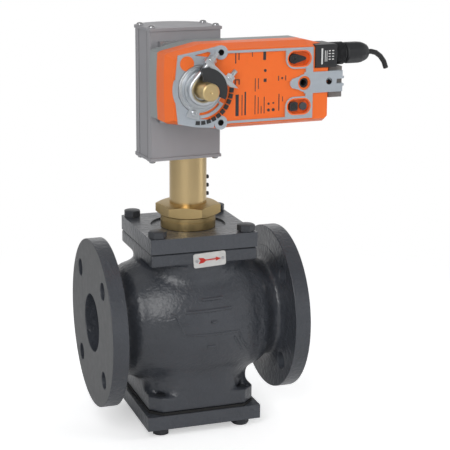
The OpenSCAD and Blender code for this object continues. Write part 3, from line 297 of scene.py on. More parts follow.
def finish(name, colour, roughness, metallic=0.0, width=4.0, depth=0.05, uneven=0.15,
           stretch=(1.0, 1.0, 1.0), edge=0.0, corner=0.25, coat=0.0, gloss_swing=0.15, detail=3.0):
    """One material: uneven colour, worn edges, painted shade in inside corners, roughness that varies and a fine
    relief.
    """
    made = bpy.data.materials.new(name)
    made.use_nodes = True
    tree = made.node_tree
    shader = tree.nodes["Principled BSDF"]
    relief = use(tree, shared("relief", relief_group), Width=width, Stretch=stretch, Detail=detail)
    flat = (*colour, 1.0)
    toned = use(tree, shared("tone", tone_group), Color=flat, Shade=relief["Shade"], Amount=uneven)
    paler, least = 1.6, 0.02
    bright = [min(1.0, c * paler + least) for c in colour] + [1.0]
    # Lighter worn edges, and painted shade in the inside corners.
    worn = use(tree, shared("wear", wear_and_corner_shade_group), Color=toned["Color"], Edge=bright, Amount=edge,
               Corner=corner)
    tree.links.new(worn["Color"], shader.inputs["Base Color"])
    swing = maths(tree, "MULTIPLY", maths(tree, "SUBTRACT", relief["Shade"], 0.5), gloss_swing * 2)
    tree.links.new(maths(tree, "ADD", swing, roughness, clamp=True), shader.inputs["Roughness"])
    shader.inputs["Metallic"].default_value = metallic
    shader.inputs["Coat Weight"].default_value = coat
    shader.inputs["Coat Roughness"].default_value = 0.25
    bump = add(tree, "Bump", {"Height": relief["Height"], "Distance": depth * MM, "Strength": 1.0})
    tree.links.new(bump.outputs[0], shader.inputs["Normal"])
    return made


GASKET_BLACK = (0.012, 0.012, 0.012)
# Painted shade: the black that stands for the shade inside deep holes.
HOLE_SHADE_BLACK = (0.006, 0.006, 0.006)
# The finishes: colour, roughness and their own settings; corner sets how much painted shade darkens inside
# corners.
FINISH_ROWS = {
    "painted_iron": ("iron", 0.34, dict(width=5.0, depth=1.1, uneven=0.25, edge=0.3, corner=0.4,
                                        gloss_swing=0.12, coat=0.35, detail=2.0)),
    "machined_iron": ("machined", 0.5, dict(width=1.2, depth=0.03, uneven=0.25, edge=0.2)),
    "black_steel": ("black_steel", 0.4, dict(width=1.6, depth=0.08, uneven=0.3, edge=0.5)),
    "brass": ("brass", 0.24, dict(metallic=1.0, width=1.5, depth=0.006, uneven=0.12,
                                  stretch=(0.03, 0.03, 1.0), edge=0.2, gloss_swing=0.08)),
    "brass_turned": ("brass_light", 0.42, dict(metallic=1.0, width=1.5, depth=0.006, uneven=0.12,
                                               stretch=(0.03, 1.0, 0.03), edge=0.2)),
    "brass_nut": ("brass_nut", 0.42, dict(metallic=1.0, width=1.5, depth=0.01, uneven=0.12, edge=0.25,
                                          gloss_swing=0.08)),
    "bronze": ("bronze", 0.35, dict(metallic=1.0, width=1.5, depth=0.01)),
    "gasket": (GASKET_BLACK, 0.7, dict(width=0.8)),
    "steel": ("steel", 0.3, dict(metallic=1.0, width=1.2, depth=0.01, edge=0.2)),
    "bright_steel": ("steel", 0.16, dict(metallic=1.0, width=1.2, depth=0.002)),
    "zinc_plate": ("zinc", 0.36, dict(metallic=1.0, width=1.6, depth=0.003, uneven=0.08, edge=0.2)),
    "silver_plate": ("silver", 0.42, dict(metallic=0.2, width=1.0, depth=0.01)),
    "arrow_red": ("arrow_red", 0.45, dict(width=0.8, depth=0.01)),
    "grey_case": ("case_grey", 0.46, dict(metallic=0.2, width=1.8, depth=0.012, uneven=0.1,
                                          stretch=(1.0, 1.0, 0.03), edge=0.25)),
    # Painted shade for the grooves beside the case's beads.
    "groove_grey": ("groove", 0.6, dict(width=0.8, depth=0.002)),
    "orange_plastic": ("orange", 0.42, dict(width=0.7, depth=0.025, uneven=0.05, edge=0.12, corner=0.3)),
    "trim_grey_plastic": ("trim_grey", 0.42, dict(width=0.7, depth=0.015, uneven=0.06, edge=0.15)),
    "housing_grey_plastic": ("housing_grey", 0.46, dict(width=0.7, depth=0.03, uneven=0.06, edge=0.15)),
    "black_plastic": ("black_plastic", 0.38, dict(width=0.7, depth=0.02, edge=0.3)),
    # Painted shade inside deep holes.
    "deep_black": (HOLE_SHADE_BLACK, 0.6, dict(width=0.8, depth=0.002)),
    "print_white": ("print_white", 0.6, dict(width=0.8, depth=0.002)),
    "print_black": ("black_steel", 0.6, dict(width=0.8, depth=0.002)),
    "button_grey": ("button_grey", 0.45, dict(width=0.7, depth=0.02)),
    "lug_grey": ("lug_grey", 0.5, dict(width=0.7, depth=0.03, stretch=(1.0, 1.0, 0.1))),
    "board_green": ("board", 0.4, dict(width=2.0, depth=0.02)),
    "cable_jacket": ("jacket", 0.3, dict(width=0.8, depth=0.01, edge=0.1)),
}


def finishes():
    """All the materials, by the record's slot names and a few of their own."""
    if not FINISHES:
        chosen = bpy.context.scene.finish_colours
        for name, (colour, roughness, settings) in FINISH_ROWS.items():
            shade = getattr(chosen, colour) if isinstance(colour, str) else colour
            FINISHES[name] = finish(name, shade, roughness, **settings)
    return FINISHES


# Mesh tools. A shape is a bmesh in millimetres, in the valve's, the head's or the clamp's frame.

AXES = {
    "X": (Vector((0, 1, 0)), Vector((0, 0, 1)), Vector((1, 0, 0))),
    "Y": (Vector((1, 0, 0)), Vector((0, 0, 1)), Vector((0, -1, 0))),
    "Z": (Vector((1, 0, 0)), Vector((0, 1, 0)), Vector((0, 0, 1))),
}


def at(centre, axis, across, up, along):
    """A point given across, up and along an axis: X to the right, Y to the viewer, Z upwards."""
    u, v, w = AXES[axis]
    return Vector(centre) + u * across + v * up + w * along


def around(steps):
    """Even steps round a full turn, as angles."""
    return [2 * pi * k / steps for k in range(steps)]


def to_flat(angle, flats, flat_in):
    """How far a regular polygon's side lies from its middle in the direction of an angle."""
    return flat_in / cos((angle + pi / flats) % (2 * pi / flats) - pi / flats)


# Where a profile stops short of its axis: inside another piece, and at a closed end that shows.
NEAR_AXIS = 1.0
AT_AXIS = 0.1


def loft(shape, rings, closed=False):
    """Quads between rings of equal length; the ends are capped unless the rings close on themselves."""
    made = [[shape.verts.new(p) for p in ring] for ring in rings]
    count = len(made[0])
    pairs = list(zip(made, made[1:] + made[:1])) if closed else list(zip(made, made[1:]))
    for low, high in pairs:
        for k in range(count):
            n = (k + 1) % count
            shape.faces.new((low[k], low[n], high[n], high[k]))
    if not closed:
        shape.faces.new(list(reversed(made[0])))
        shape.faces.new(made[-1])


def turned(shape, profile, centre=(0, 0, 0), axis="Z", steps=64, closed=False):
    """A lathe-turned shape: the profile gives (radius, height along the axis)."""
    tip = 0.01
    rings = [[at(centre, axis, max(r, tip) * cos(t), max(r, tip) * sin(t), h) for t in around(steps)]
             for r, h in profile]
    loft(shape, rings, closed)


def plate(shape, outline, low, high, centre=(0, 0, 0), axis="Y", holes=()):
    """A flat plate with holes, from low to high along the axis."""
    flat = bmesh.new()
    for loop in (outline, *holes):
        corners = [flat.verts.new((p[0], p[1], 0)) for p in loop]
        for k, corner in enumerate(corners):
            flat.edges.new((corner, corners[(k + 1) % len(corners)]))
    bmesh.ops.triangle_fill(flat, use_beauty=True, use_dissolve=True, edges=flat.edges[:])
    raised = bmesh.ops.extrude_face_region(flat, geom=flat.faces[:])
    for part in raised["geom"]:
        if isinstance(part, bmesh.types.BMVert):
            part.co.z = 1.0
    moved = {v: shape.verts.new(at(centre, axis, v.co.x, v.co.y, low + (high - low) * v.co.z))
             for v in flat.verts}
    for face in flat.faces:
        shape.faces.new([moved[v] for v in face.verts])
    flat.free()


def circle(radius, steps=48, centre=(0.0, 0.0), start=0.0, end=360.0):
    """Points along a circle or, with other ends, along an arc that holds both its ends."""
    last = 0 if end - start >= 360 else 1
    turns = [radians(start + (end - start) * k / steps) for k in range(steps + last)]
    return [(centre[0] + radius * cos(t), centre[1] + radius * sin(t)) for t in turns]


def hexagon(shape, width, low, high, centre=(0, 0, 0), turn=0.0, bore=0.0, crown=0.93, foot=False,
            steps=48, slope=30.0):
    """An upright hexagon head or nut with the round chamfer that a lathe leaves on its corners."""
    def ring(level, radius=None, drop=0.0):
        made = []
        for t in around(steps):
            side = to_flat(t, 6, width / 2)
            r = side if radius is None else radius
            shift = drop * max(0.0, side - width / 2 * crown) if radius is None else 0.0
            t += radians(turn)
            made.append(at(centre, "Z", r * cos(t), r * sin(t), level + shift))
        return made

    fall = tan(radians(slope))
    rings = [ring(low, width / 2 * crown), ring(low, drop=fall)] if foot else [ring(low)]
    rings += [ring(high, drop=-fall), ring(high, width / 2 * crown)]
    if bore:
        rings += [ring(high, bore), ring(low, bore)]
    loft(shape, rings, closed=bool(bore))


def threaded(shape, radius, pitch, depth, low, high, centre, axis="Z", chamfer=0.5):
    """A threaded rod: a ridge that climbs one pitch a turn, with a chamfered end."""
    steps, levels_per_turn = 24, 4
    count = max(2, ceil((high - low) / pitch * levels_per_turn))
    rings = []
    for level in range(count + 1):
        h = low + (high - low) * level / count
        ring = []
        for t in around(steps):
            phase = (h / pitch - t / (2 * pi)) % 1
            r = min(radius - depth * abs(2 * phase - 1), radius - chamfer + (high - h))
            ring.append(at(centre, axis, r * cos(t), r * sin(t), h))
        rings.append(ring)
    loft(shape, rings)


def swept(shape, points, radius, sides):
    """A round bar along a path, with its section kept level from ring to ring."""
    points = [Vector(p) for p in points]
    rings, up = [], None
    for k, point in enumerate(points):
        run = (points[min(k + 1, len(points) - 1)] - points[max(k - 1, 0)]).normalized()
        if up is None:
            up = run.orthogonal().normalized()
        up = (up - run * up.dot(run)).normalized()
        aside = run.cross(up)
        rings.append([point + (up * cos(t) + aside * sin(t)) * radius for t in around(sides)])
    loft(shape, rings)


def into_mesh(shape, name, place):
    """The shape as a Blender object in the row frame, with its faces turned outwards."""
    bmesh.ops.recalc_face_normals(shape, faces=shape.faces[:])
    shape.transform(place)
    mesh = bpy.data.meshes.new(name)
    shape.to_mesh(mesh)
    shape.free()
    made = bpy.data.objects.new(name, mesh)
    bpy.context.scene.collection.objects.link(made)
    return made


def smooth(obj, angle=32):
    """Smooth shading that keeps the edges sharper than the angle."""
    obj.data.shade_smooth()
    obj.data.set_sharp_from_angle(angle=radians(angle))


def rounded(obj, width, angle=35):
    """A bevel on the sharp edges, in millimetres, applied when the piece is drawn."""
    bevel = obj.modifiers.new("Rounded edges", "BEVEL")
    bevel.width = width * MM
    bevel.segments = 2
    bevel.limit_method = "ANGLE"
    bevel.angle_limit = radians(angle)
    bevel.harden_normals = True


def settle(obj):
    """Takes the object's modifiers into its mesh."""
    graph = bpy.context.evaluated_depsgraph_get()
    mesh = bpy.data.meshes.new_from_object(obj.evaluated_get(graph))
    obj.modifiers.clear()
    obj.data = mesh


def carved(obj, cutter):
    """Cuts the cutter out of the object and removes it."""
    cut = obj.modifiers.new("Carved", "BOOLEAN")
    cut.object = cutter
    cut.operation = "DIFFERENCE"
    cut.solver = "EXACT"
    settle(obj)
    bpy.data.objects.remove(cutter)
    if not obj.data.polygons:
        raise RuntimeError(f"{obj.name}: nothing was left after the cut")
    return obj


def cross(half_long, half_wide, turn):
    """Outline of a cross recess."""
    a, b = half_long, half_wide
    corners = [(a, -b), (a, b), (b, b), (b, a), (-b, a), (-b, b),
               (-a, b), (-a, -b), (-b, -b), (-b, -a), (b, -a), (b, -b)]
    t = radians(turn)
    return [(cos(t) * u - sin(t) * v, sin(t) * u + cos(t) * v) for u, v in corners]


def box_outline(width, height, centre):
    """Outline of a rectangle round its middle."""
    (x, z), w, h = centre, width / 2, height / 2
    return [(x - w, z - h), (x + w, z - h), (x + w, z + h), (x - w, z + h)]


def rounded_box(width, height, radius, centre=(0.0, 0.0)):
    """Outline of a rectangle with round corners."""
    steps = 6
    points = []
    for k, (sx, sy) in enumerate(((1, 1), (-1, 1), (-1, -1), (1, -1))):
        corner = (centre[0] + sx * (width / 2 - radius), centre[1] + sy * (height / 2 - radius))
        points += circle(radius, steps, corner, 90 * k, 90 * k + 90)
    return points


def piece(obj, body, slot, nodes=(), look=None, edge=0.0, angle=32):
    """Gives a piece its finish, edges and shading, the body that it rides on and the nodes it stands for."""
    obj.data.materials.clear()
    obj.data.materials.append(finishes()[look or slot])
    smooth(obj, angle)
    if edge:
        rounded(obj, edge, angle=angle)
    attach(obj, body)
    if nodes:
        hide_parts(*nodes)
    return obj


def done(shape, name, place, body, slot, nodes=(), look=None, edge=0.0, angle=32):
    """Turns a finished shape into a dressed piece."""
    return piece(into_mesh(shape, name, place), body, slot, nodes, look, edge, angle)


# The pieces. Each operator builds one piece or one group of like pieces.


# Cable route from the drive shaft's axis, in metres: out of the gland, along and then down.
CABLE_ROUTE = [
    (0.200, -0.068, 0.027),
    (0.206, -0.068, 0.027),
    (0.212, -0.0675, 0.0255),
    (0.218, -0.067, 0.0215),
    (0.223, -0.0665, 0.0155),
    (0.226, -0.066, 0.0085),
]


class CABLE_OT_lay(bpy.types.Operator):
    """Lays the short cable along its route"""

    bl_idname = "valve.lay_cable"
    bl_label = "Cable"

    def execute(self, context):
        width = context.scene.head_sizes.cable_width
        line = bpy.data.curves.new("cable", "CURVE")
        line.dimensions = "3D"
        line.bevel_depth = width / 2
        line.bevel_resolution = 6
        line.use_fill_caps = True
        strand = line.splines.new("POLY")
        points = [HEAD @ (Vector(p) / MM) for p in CABLE_ROUTE]
        strand.points.add(len(points) - 1)
        for held, point in zip(strand.points, points):
            held.co = (*point, 1.0)
        cable = bpy.data.objects.new("cable", line)
        context.scene.collection.objects.link(cable)
        line.materials.append(finishes()["cable_jacket"])
        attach(cable, "valve")
        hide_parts("cable_stub")
        return {"FINISHED"}


# The casting and its flanges, in the valve's frame.

FLANGE_THICK = 17.5
FLANGE_R = 92.0
PORT_R = 31.75
BOLT_CIRCLE_R = 69.85
# How far the cover bolts stand from the stem's axis, along the pipe and across it.
BONNET_BOLT_AT = 49.5
BOTTOM_BOLT_AT = 46.0

# The skin keeps its shape in the chambers, round the stem, in the ports and round the bolts.
KEPT_ROUND_MIDDLE = 63.0
KEPT_ROUND_STEM = 44.0
KEPT_ROUND_PIPE = 32.6
KEPT_ROUND_BOLT = 8.0
KEPT_BEYOND = 60.0
BOTTOM_SPOT_SHARE = 0.93
# How close to a flange's back the skin counts as flat, how far it then dives in, and what is cut off.
FLAT_WITHIN = 0.12
SKIN_DIVE = 1.2
CUT_BEYOND = 0.1


def spread(values, index, count):
    """Sum of the rows of values that share an index."""
    return np.stack([np.bincount(index, values[:, k], count) for k in range(3)], 1)


def filled(mesh, moving, passes):
    """Fills inside corners: a point moves out along its normal towards its neighbours' middle."""
    first_passes, lowered_share, step_share = 4, 0.35, 0.9
    count = len(mesh.vertices)
    points = np.empty(count * 3)
    mesh.vertices.foreach_get("co", points)
    points = points.reshape(-1, 3)
    ends = np.empty(len(mesh.edges) * 2, int)
    mesh.edges.foreach_get("vertices", ends)
    one, two = ends.reshape(-1, 2).T
    mesh.calc_loop_triangles()
    corners = np.empty(len(mesh.loop_triangles) * 3, int)
    mesh.loop_triangles.foreach_get("vertices", corners)
    a, b, c = corners.reshape(-1, 3).T
    both, other = np.concatenate([one, two]), np.concatenate([two, one])
    ways = np.bincount(both, minlength=count)[:, None]
    for step in range(passes):
        across = np.cross(points[b] - points[a], points[c] - points[a])
        normals = spread(np.concatenate([across] * 3), np.concatenate([a, b, c]), count)
        normals /= np.linalg.norm(normals, axis=1)[:, None] + 1e-12
        towards = spread(points[other], both, count) / ways - points
        rise = (towards * normals).sum(1)
        rise = np.where(rise > 0, rise, lowered_share * rise if step < first_passes else 0)
        points += normals * (rise * moving)[:, None] * step_share
    return points


def free_to_move(points, flange_back):
    """1 for the casting's points that the fillets may move and 0 for the rest, and which lie inside."""
    beside_back = 0.4
    x, y, z = points.T
    inside = np.linalg.norm(points, axis=1) < KEPT_ROUND_MIDDLE
    inside |= np.hypot(x, y) < KEPT_ROUND_STEM
    inside |= np.hypot(y, z) < KEPT_ROUND_PIPE
    moving = np.where(inside | (np.abs(x) > flange_back + beside_back), 0.0, 1.0)
    for bx in (-BONNET_BOLT_AT, BONNET_BOLT_AT):
        for by in (-BONNET_BOLT_AT, BONNET_BOLT_AT):
            above = (np.hypot(x - bx, y - by) < KEPT_ROUND_BOLT) & (z > KEPT_BEYOND)
            sx, sy = bx * BOTTOM_SPOT_SHARE, by * BOTTOM_SPOT_SHARE
            below = (np.hypot(x - sx, y - sy) < KEPT_ROUND_BOLT) & (z < -KEPT_BEYOND)
            moving[above | below] = 0.0
    return moving, inside


class CASTING_OT_build(bpy.types.Operator):
    """Grows the inside fillets on the casting and gives it its rough painted skin"""

    bl_idname = "valve.build_casting"
    bl_label = "Valve casting"

    def execute(self, context):
        sizes = context.scene.valve_sizes
        source = frame["nodes"]["valve_body"]
        mesh = source.data.copy()
        skin = bpy.data.objects.new("casting", mesh)
        context.scene.collection.objects.link(skin)
        mesh.transform(source.matrix_world)
        grid = skin.modifiers.new("Grid", "REMESH")
        grid.mode = "VOXEL"
        grid.voxel_size = sizes.cast_grid
        settle(skin)
        mesh = skin.data
        mesh.transform(VALVE.inverted())
        flange_back = reach("valve_body", VALVE)[1].x - FLANGE_THICK
        moving, inside = free_to_move(np.array([v.co for v in mesh.vertices]), flange_back)
        points = filled(mesh, moving, sizes.fillet_passes)
        # The flanges are pieces of their own, and the skin dives under their backs.
        flat = (np.abs(points[:, 0]) > flange_back - FLAT_WITHIN) & ~inside
        points[flat, 0] = np.sign(points[flat, 0]) * (flange_back + SKIN_DIVE)
        mesh.vertices.foreach_set("co", points.ravel())
        shape = bmesh.new()
        shape.from_mesh(mesh)
        last = flange_back + SKIN_DIVE + CUT_BEYOND
        buried = [v for v in shape.verts if abs(v.co.x) > last]
        bmesh.ops.delete(shape, geom=buried, context="VERTS")
        bpy.data.objects.remove(skin)
        done(shape, "casting", VALVE, "valve", "painted_iron", ["valve_body"], angle=60)
        return {"FINISHED"}


# The flanges: side, name and the radius of the bolt holes.
FLANGES = [(-1, "inlet_flange", 9.5), (1, "outlet_flange", 9.7)]
FLANGE_EDGE = 0.9
# How squarely a face has to look along the pipe to count as machined.
MACHINED_FROM = 0.9


class FLANGES_OT_turn(bpy.types.Operator):
    """Turns the two drilled flanges"""

    bl_idname = "valve.turn_flanges"
    bl_label = "Flanges"

    def execute(self, context):
        face_x = reach("valve_body", VALVE)[1].x
        turns = [radians(a) for a in (45, 135, 225, 315)]
        spots = [(BOLT_CIRCLE_R * cos(t), BOLT_CIRCLE_R * sin(t)) for t in turns]
        for side, name, hole_r in FLANGES:
            holes = [circle(PORT_R, 72)] + [circle(hole_r, 32, spot) for spot in spots]
            near, far = sorted((side * face_x, side * (face_x - FLANGE_THICK)))
            shape = bmesh.new()
            plate(shape, circle(FLANGE_R, 144), near, far, axis="X", holes=holes)
            made = done(shape, name, VALVE, "valve", "painted_iron", ["valve_body"], edge=FLANGE_EDGE)
            made.data.materials.append(finishes()["machined_iron"])
            for face in made.data.polygons:
                if face.normal.x * side > MACHINED_FROM:
                    face.material_index = 1
        return {"FINISHED"}


# Low cast lines on the front of the barrel: places along the pipe and over its axis, and a radius.
CAST_LINES = [
    ([(-41, 23.6), (-35.4, 21), (-27.6, 0.2), (-2.3, 0), (33.5, -0.6), (39.7, -14), (49.2, -27)], 1.3),
    ([(-27, 12.5), (-22.5, 12)], 1.2),
    ([(35.6, -7.3), (45.8, -23.5)], 1.3),
    ([(28.4, -6), (40, -25)], 1.2),
    ([(-6, 36), (17, 36.5)], 1.9),
    ([(-25, 24.5), (26, 25.5)], 1.9),
    ([(2, 13), (8, 13)], 1.7),
    ([(-2.5, -14), (6, -14)], 1.7),
]
# The barrel's radius near the stem, and how much less it is at a distance along the pipe.
BARREL_R = 78
BARREL_FALL = 14
BARREL_FALL_AT = 62
# How far the lines sink in, as a share of their radius, and the step along them.
SUNK_SHARE = 0.2
LINE_STEP = 2.0


class CAST_MARKS_OT_raise(bpy.types.Operator):
    """Raises plain cast lines and bars on the front of the barrel"""

    bl_idname = "valve.raise_cast_marks"
    bl_label = "Cast marks"

    def execute(self, context):
        shape = bmesh.new()
        for line, radius in CAST_LINES:
            route = []
            for (x0, z0), (x1, z1) in zip(line, line[1:]):
                parts = max(2, int(hypot(x1 - x0, z1 - z0) / LINE_STEP))
                for k in range(parts):
                    route.append((x0 + (x1 - x0) * k / parts, z0 + (z1 - z0) * k / parts))
            route.append(line[-1])
            points = []
            for x, z in route:
                barrel = BARREL_R - BARREL_FALL * (x / BARREL_FALL_AT) ** 2
                points.append((x, -sqrt(barrel ** 2 - z * z) + radius * SUNK_SHARE, z))
            swept(shape, points, radius, 10)
        done(shape, "cast_marks", VALVE, "valve", "painted_iron")
        return {"FINISHED"}


# A hexagon bolt: its washer face, how far parts of it run into each other, and its chamfered shank.
WASHER_FACE = 0.7
WASHER_SHARE = 0.47
LAP = 0.1
SHANK_R = 6.3
SHANK_BEVEL = 0.5
# The bolts: node, carrier, up or down, how far out they stand, and how each head happens to be turned.
BOLT_ROWS = [
    ("bonnet_bolts", "bonnet_plate", 1, BONNET_BOLT_AT, (22, 49, 8, 31)),
    ("bottom_bolts", "bottom_cover", -1, BOTTOM_BOLT_AT, (17, 3, 41, 28)),
]


def hex_bolt(shape, x, y, foot, way, width, height, turn, shank):
    """A hexagon head on its foot, up for way 1 and down for -1, with its shank on the other side."""
    low, high = (foot, foot + height) if way > 0 else (-foot, -foot + height)
    made = bmesh.new()
    round_r = width * WASHER_SHARE
    turned(made, [(round_r, low), (round_r, low + WASHER_FACE), (NEAR_AXIS, low + WASHER_FACE)],
           steps=32)
    hexagon(made, width, low + WASHER_FACE - LAP, high, turn=turn, crown=0.95)
    turned(made, [(SHANK_R - SHANK_BEVEL, low - shank), (SHANK_R, low - shank + 2 * SHANK_BEVEL),
                  (SHANK_R, low + 2 * LAP)], steps=24)
    if way < 0:
        bmesh.ops.rotate(made, verts=made.verts[:], matrix=Matrix.Rotation(pi, 3, "X"))
    bmesh.ops.translate(made, verts=made.verts[:], vec=(x, y, 0))
    part = bpy.data.meshes.new("bolt")
    made.to_mesh(part)
    made.free()
    shape.from_mesh(part)
    bpy.data.meshes.remove(part)


class BOLTS_OT_fit(bpy.types.Operator):
    """Fits the hexagon bolts of the bonnet and of the bottom cover"""

    bl_idname = "valve.fit_bolts"
    bl_label = "Hexagon bolts"

    def execute(self, context):
        width = context.scene.valve_sizes.bolt_width / MM
        for node, carrier, way, out, turns in BOLT_ROWS:
            low, high = reach(node, VALVE)
            seat = reach(carrier, VALVE)
            foot = seat[1].z if way > 0 else seat[0].z
            height = high.z - foot if way > 0 else foot - low.z
            length = foot - low.z if way > 0 else high.z - foot
            corners = [(x * out, y * out) for x in (-1, 1) for y in (-1, 1)]
            shape = bmesh.new()
            for (x, y), turn in zip(corners, turns):
                hex_bolt(shape, x, y, foot, way, width, height, turn, length)
            name = node.replace("bolts", "hex_bolts")
            done(shape, name, VALVE, "valve", "black_steel", [node])
        return {"FINISHED"}


class ARROW_OT_paint(bpy.types.Operator):
    """Paints the raised arrow on its plate red"""

    bl_idname = "valve.paint_arrow"
    bl_label = "Flow arrow"

    def execute(self, context):
        raised_within = 0.05
        mesh = frame["nodes"]["flow_arrow_plate"].data
        mesh.materials.append(finishes()["arrow_red"])
        depth = points_of("flow_arrow_plate", VALVE)[:, 1]
        raised = depth < depth.min() + raised_within
        for face in mesh.polygons:
            if raised[list(face.vertices)].any():
                face.material_index = 1
        return {"FINISHED"}


# The packing nut: how deep it sits in the bonnet's recess, its hexagon, its collar and the neck's bore.
RECESS_DEPTH = 2.0
HEX_HEIGHT = 11.8
HEX_WIDTH = 61.8
HEX_TURN = 7.0
COLLAR_R = 30.0
NECK_R = 20.2
THREAD_R = 26.0
# The collar's lower part, as (in from its side, over the seat), and the bevel under the hexagon.
COLLAR_STEPS = [(0.4, 0.0), (0.0, 0.6), (0.0, 8.6), (0.3, 8.9), (0.0, 9.2)]
COLLAR_BEVEL = 0.9


class NUT_OT_turn(bpy.types.Operator):
    """Turns the brass packing nut with its round collar"""

    bl_idname = "valve.turn_nut"
    bl_label = "Packing nut"

    def execute(self, context):
        low, high = reach("packing_nut", VALVE)
        seat = reach("bonnet_plate", VALVE)[1].z - RECESS_DEPTH
        shoulder = high.z - HEX_HEIGHT
        bore = NECK_R + 0.05
        collar = [(COLLAR_R - inwards, seat + over) for inwards, over in COLLAR_STEPS]
        shape = bmesh.new()
        turned(shape, [(THREAD_R, low.z), (THREAD_R, seat), *collar, (COLLAR_R, shoulder - COLLAR_BEVEL),
                       (COLLAR_R - COLLAR_BEVEL, shoulder), (bore, shoulder), (bore, low.z)],
               steps=96, closed=True)
        hexagon(shape, HEX_WIDTH, shoulder, high.z, turn=HEX_TURN, bore=bore, crown=0.985, foot=True,
                steps=120, slope=17)
        done(shape, "brass_nut", VALVE, "valve", "brass", ["packing_nut"], look="brass_nut", angle=24)
        return {"FINISHED"}


# The neck's set screws: pitch and depth of the thread, and the socket's two radii.
SET_PITCH = 0.8
SET_THREAD = 0.28
SET_SOCKET = (1.25, 1.1)


class SET_SCREWS_OT_fit(bpy.types.Operator):
    """Fits the socket set screws in the side of the neck"""

    bl_idname = "valve.fit_set_screws"
    bl_label = "Neck set screws"

    def execute(self, context):
        low, high = reach("neck_set_screws", VALVE)
        radius = (high.y - low.y) / 2
        gap = (high.z - low.z - 2 * radius) / 2
        mouth, floor = SET_SOCKET
        cup = [(radius - 0.3, high.x - 1.0), (radius, high.x - 0.6), (radius - 0.4, high.x),
               (mouth, high.x), (floor, high.x - 0.5)]
        shape = bmesh.new()
        for k in range(3):
            centre = (0, 0, low.z + radius + k * gap)
            threaded(shape, radius, SET_PITCH, SET_THREAD, low.x, high.x - 0.9, centre, "X", 0.3)
            turned(shape, cup, centre, "X", 24)
        done(shape, "socket_set_screws", VALVE, "valve", "black_steel", ["neck_set_screws"])
        return {"FINISHED"}


# The linkage case, in the head's frame: its screws stand over the round beads in its upright edges.

PAN_R = 3.4
# Outline of a pan head, as shares of its radius and height.
PAN_SHARES = [(1, 0), (1, 0.3), (0.94, 0.58), (0.78, 0.82), (0.48, 0.96), (0.03, 1)]
# How much larger than the CAD's the heads are, and their cross recesses.
PAN_MORE_R = 0.35
PAN_MORE_HEIGHT = 0.7
RECESS_HALF = 1.7
RECESS_WIDE = 0.36
RECESS_FLOOR = 0.45
BEAD_R = 4.9
BEAD_IN = 3.2
# The dark strips of painted shade in the grooves: width, depth and gap from a bead.
GROOVE_WIDTH = 0.24
GROOVE_DEEP = 0.8
GROOVE_GAP = 0.5


def screw_places():
    """Where the case's screws and beads stand, as two places across and two in depth."""
    low, high = reach("case_screws", HEAD)
    return (low.x + PAN_R, high.x - PAN_R), (low.y + PAN_R, high.y - PAN_R)


class PAN_SCREWS_OT_fit(bpy.types.Operator):
    """Fits the pan head screws of the case's caps"""

    bl_idname = "valve.fit_pan_screws"
    bl_label = "Case screws"

    def execute(self, context):
        low, high = reach("case_screws", HEAD)
        top, bottom = reach("case_top_cap", HEAD)[1].z, reach("case_bottom_cap", HEAD)[0].z
        across, deep = screw_places()
        heads, crosses = bmesh.new(), bmesh.new()
        for way, foot, tall in ((1, top, high.z - top), (-1, bottom, bottom - low.z)):
            tall += PAN_MORE_HEIGHT
            dome = [(r * (PAN_R + PAN_MORE_R), way * tall * t) for r, t in PAN_SHARES]
            floor, clear = sorted((way * tall * RECESS_FLOOR, way * (tall + 1)))
            for x in across:
                for y in deep:
                    turned(heads, dome, (x, y, foot), steps=32)
                    # Each recess is left at a turn of its own.
                    recess = cross(RECESS_HALF, RECESS_WIDE, 9 * x + 5 * y)
                    plate(crosses, recess, floor, clear, (x, y, foot), "Z")
        cutter = into_mesh(crosses, "crosses", HEAD)
        screws = carved(into_mesh(heads, "pan_screws", HEAD), cutter)
        piece(screws, "valve", "zinc_plate", ["case_screws"], look="bright_steel")
        return {"FINISHED"}


class BEADS_OT_stand(bpy.types.Operator):
    """Stands the round beads in the four upright edges of the case"""

    bl_idname = "valve.stand_beads"
    bl_label = "Case beads"

    def execute(self, context):
        foot, top = (corner.z for corner in reach("linkage_case", HEAD))
        across, deep = screw_places()
        shape = bmesh.new()
        for x in across:
            for y in deep:
                turned(shape, [(BEAD_R, foot), (BEAD_R, top)], (x, y, 0), steps=40)
        done(shape, "case_beads", HEAD, "valve", "grey_case")
        # A dark strip of painted shade runs down the groove beside each bead.
        shape = bmesh.new()
        for x in (across[0] - BEAD_IN, across[1] + BEAD_IN):
            for y in (deep[0] + BEAD_R + GROOVE_GAP, deep[1] - BEAD_R - GROOVE_GAP):
                plate(shape, box_outline(GROOVE_WIDTH, GROOVE_DEEP, (x, y)), foot, top, axis="Z")
        done(shape, "case_grooves", HEAD, "valve", "grey_case", look="groove_grey")
        return {"FINISHED"}


# The clamp round the shaft, seen in its own frame: z along the legs, x across them.

# How far the legs lean from level, and how far in front of the stem the clamp stands.
CLAMP_TURN = 47.0
CLAMP_FRONT = 93.6
# The legs: how far from the middle, radius, end, thread.
LEG_OUT = 13.6
LEG_R = 2.75
LEG_END = 37.0
LEG_PITCH = 0.9
LEG_THREAD = 0.34
BRIDGE_TOP = 25.5
# The bar's plain end and the thread's start lie under the bridge's top.
BAR_END = BRIDGE_TOP - 4
THREAD_START = BRIDGE_TOP - 5
CLAMP_NUT_WIDTH = 8.5
# The nuts over the bridge: where the hexagon starts and ends, and the round flange under it.
NUT_HEX = (0.9, 5.0)
NUT_FLANGE = [(5.4, 0.0), (5.4, 0.6), (4.6, 1.3), (LEG_R, 1.3), (LEG_R, 0.0)]


def clamp_place():
    """Matrix from the clamp's own millimetres to the row frame."""
    turn = Matrix.Rotation(radians(90 - CLAMP_TURN), 4, "Y")
    return HEAD @ Matrix.Translation((0, -CLAMP_FRONT, 0)) @ turn


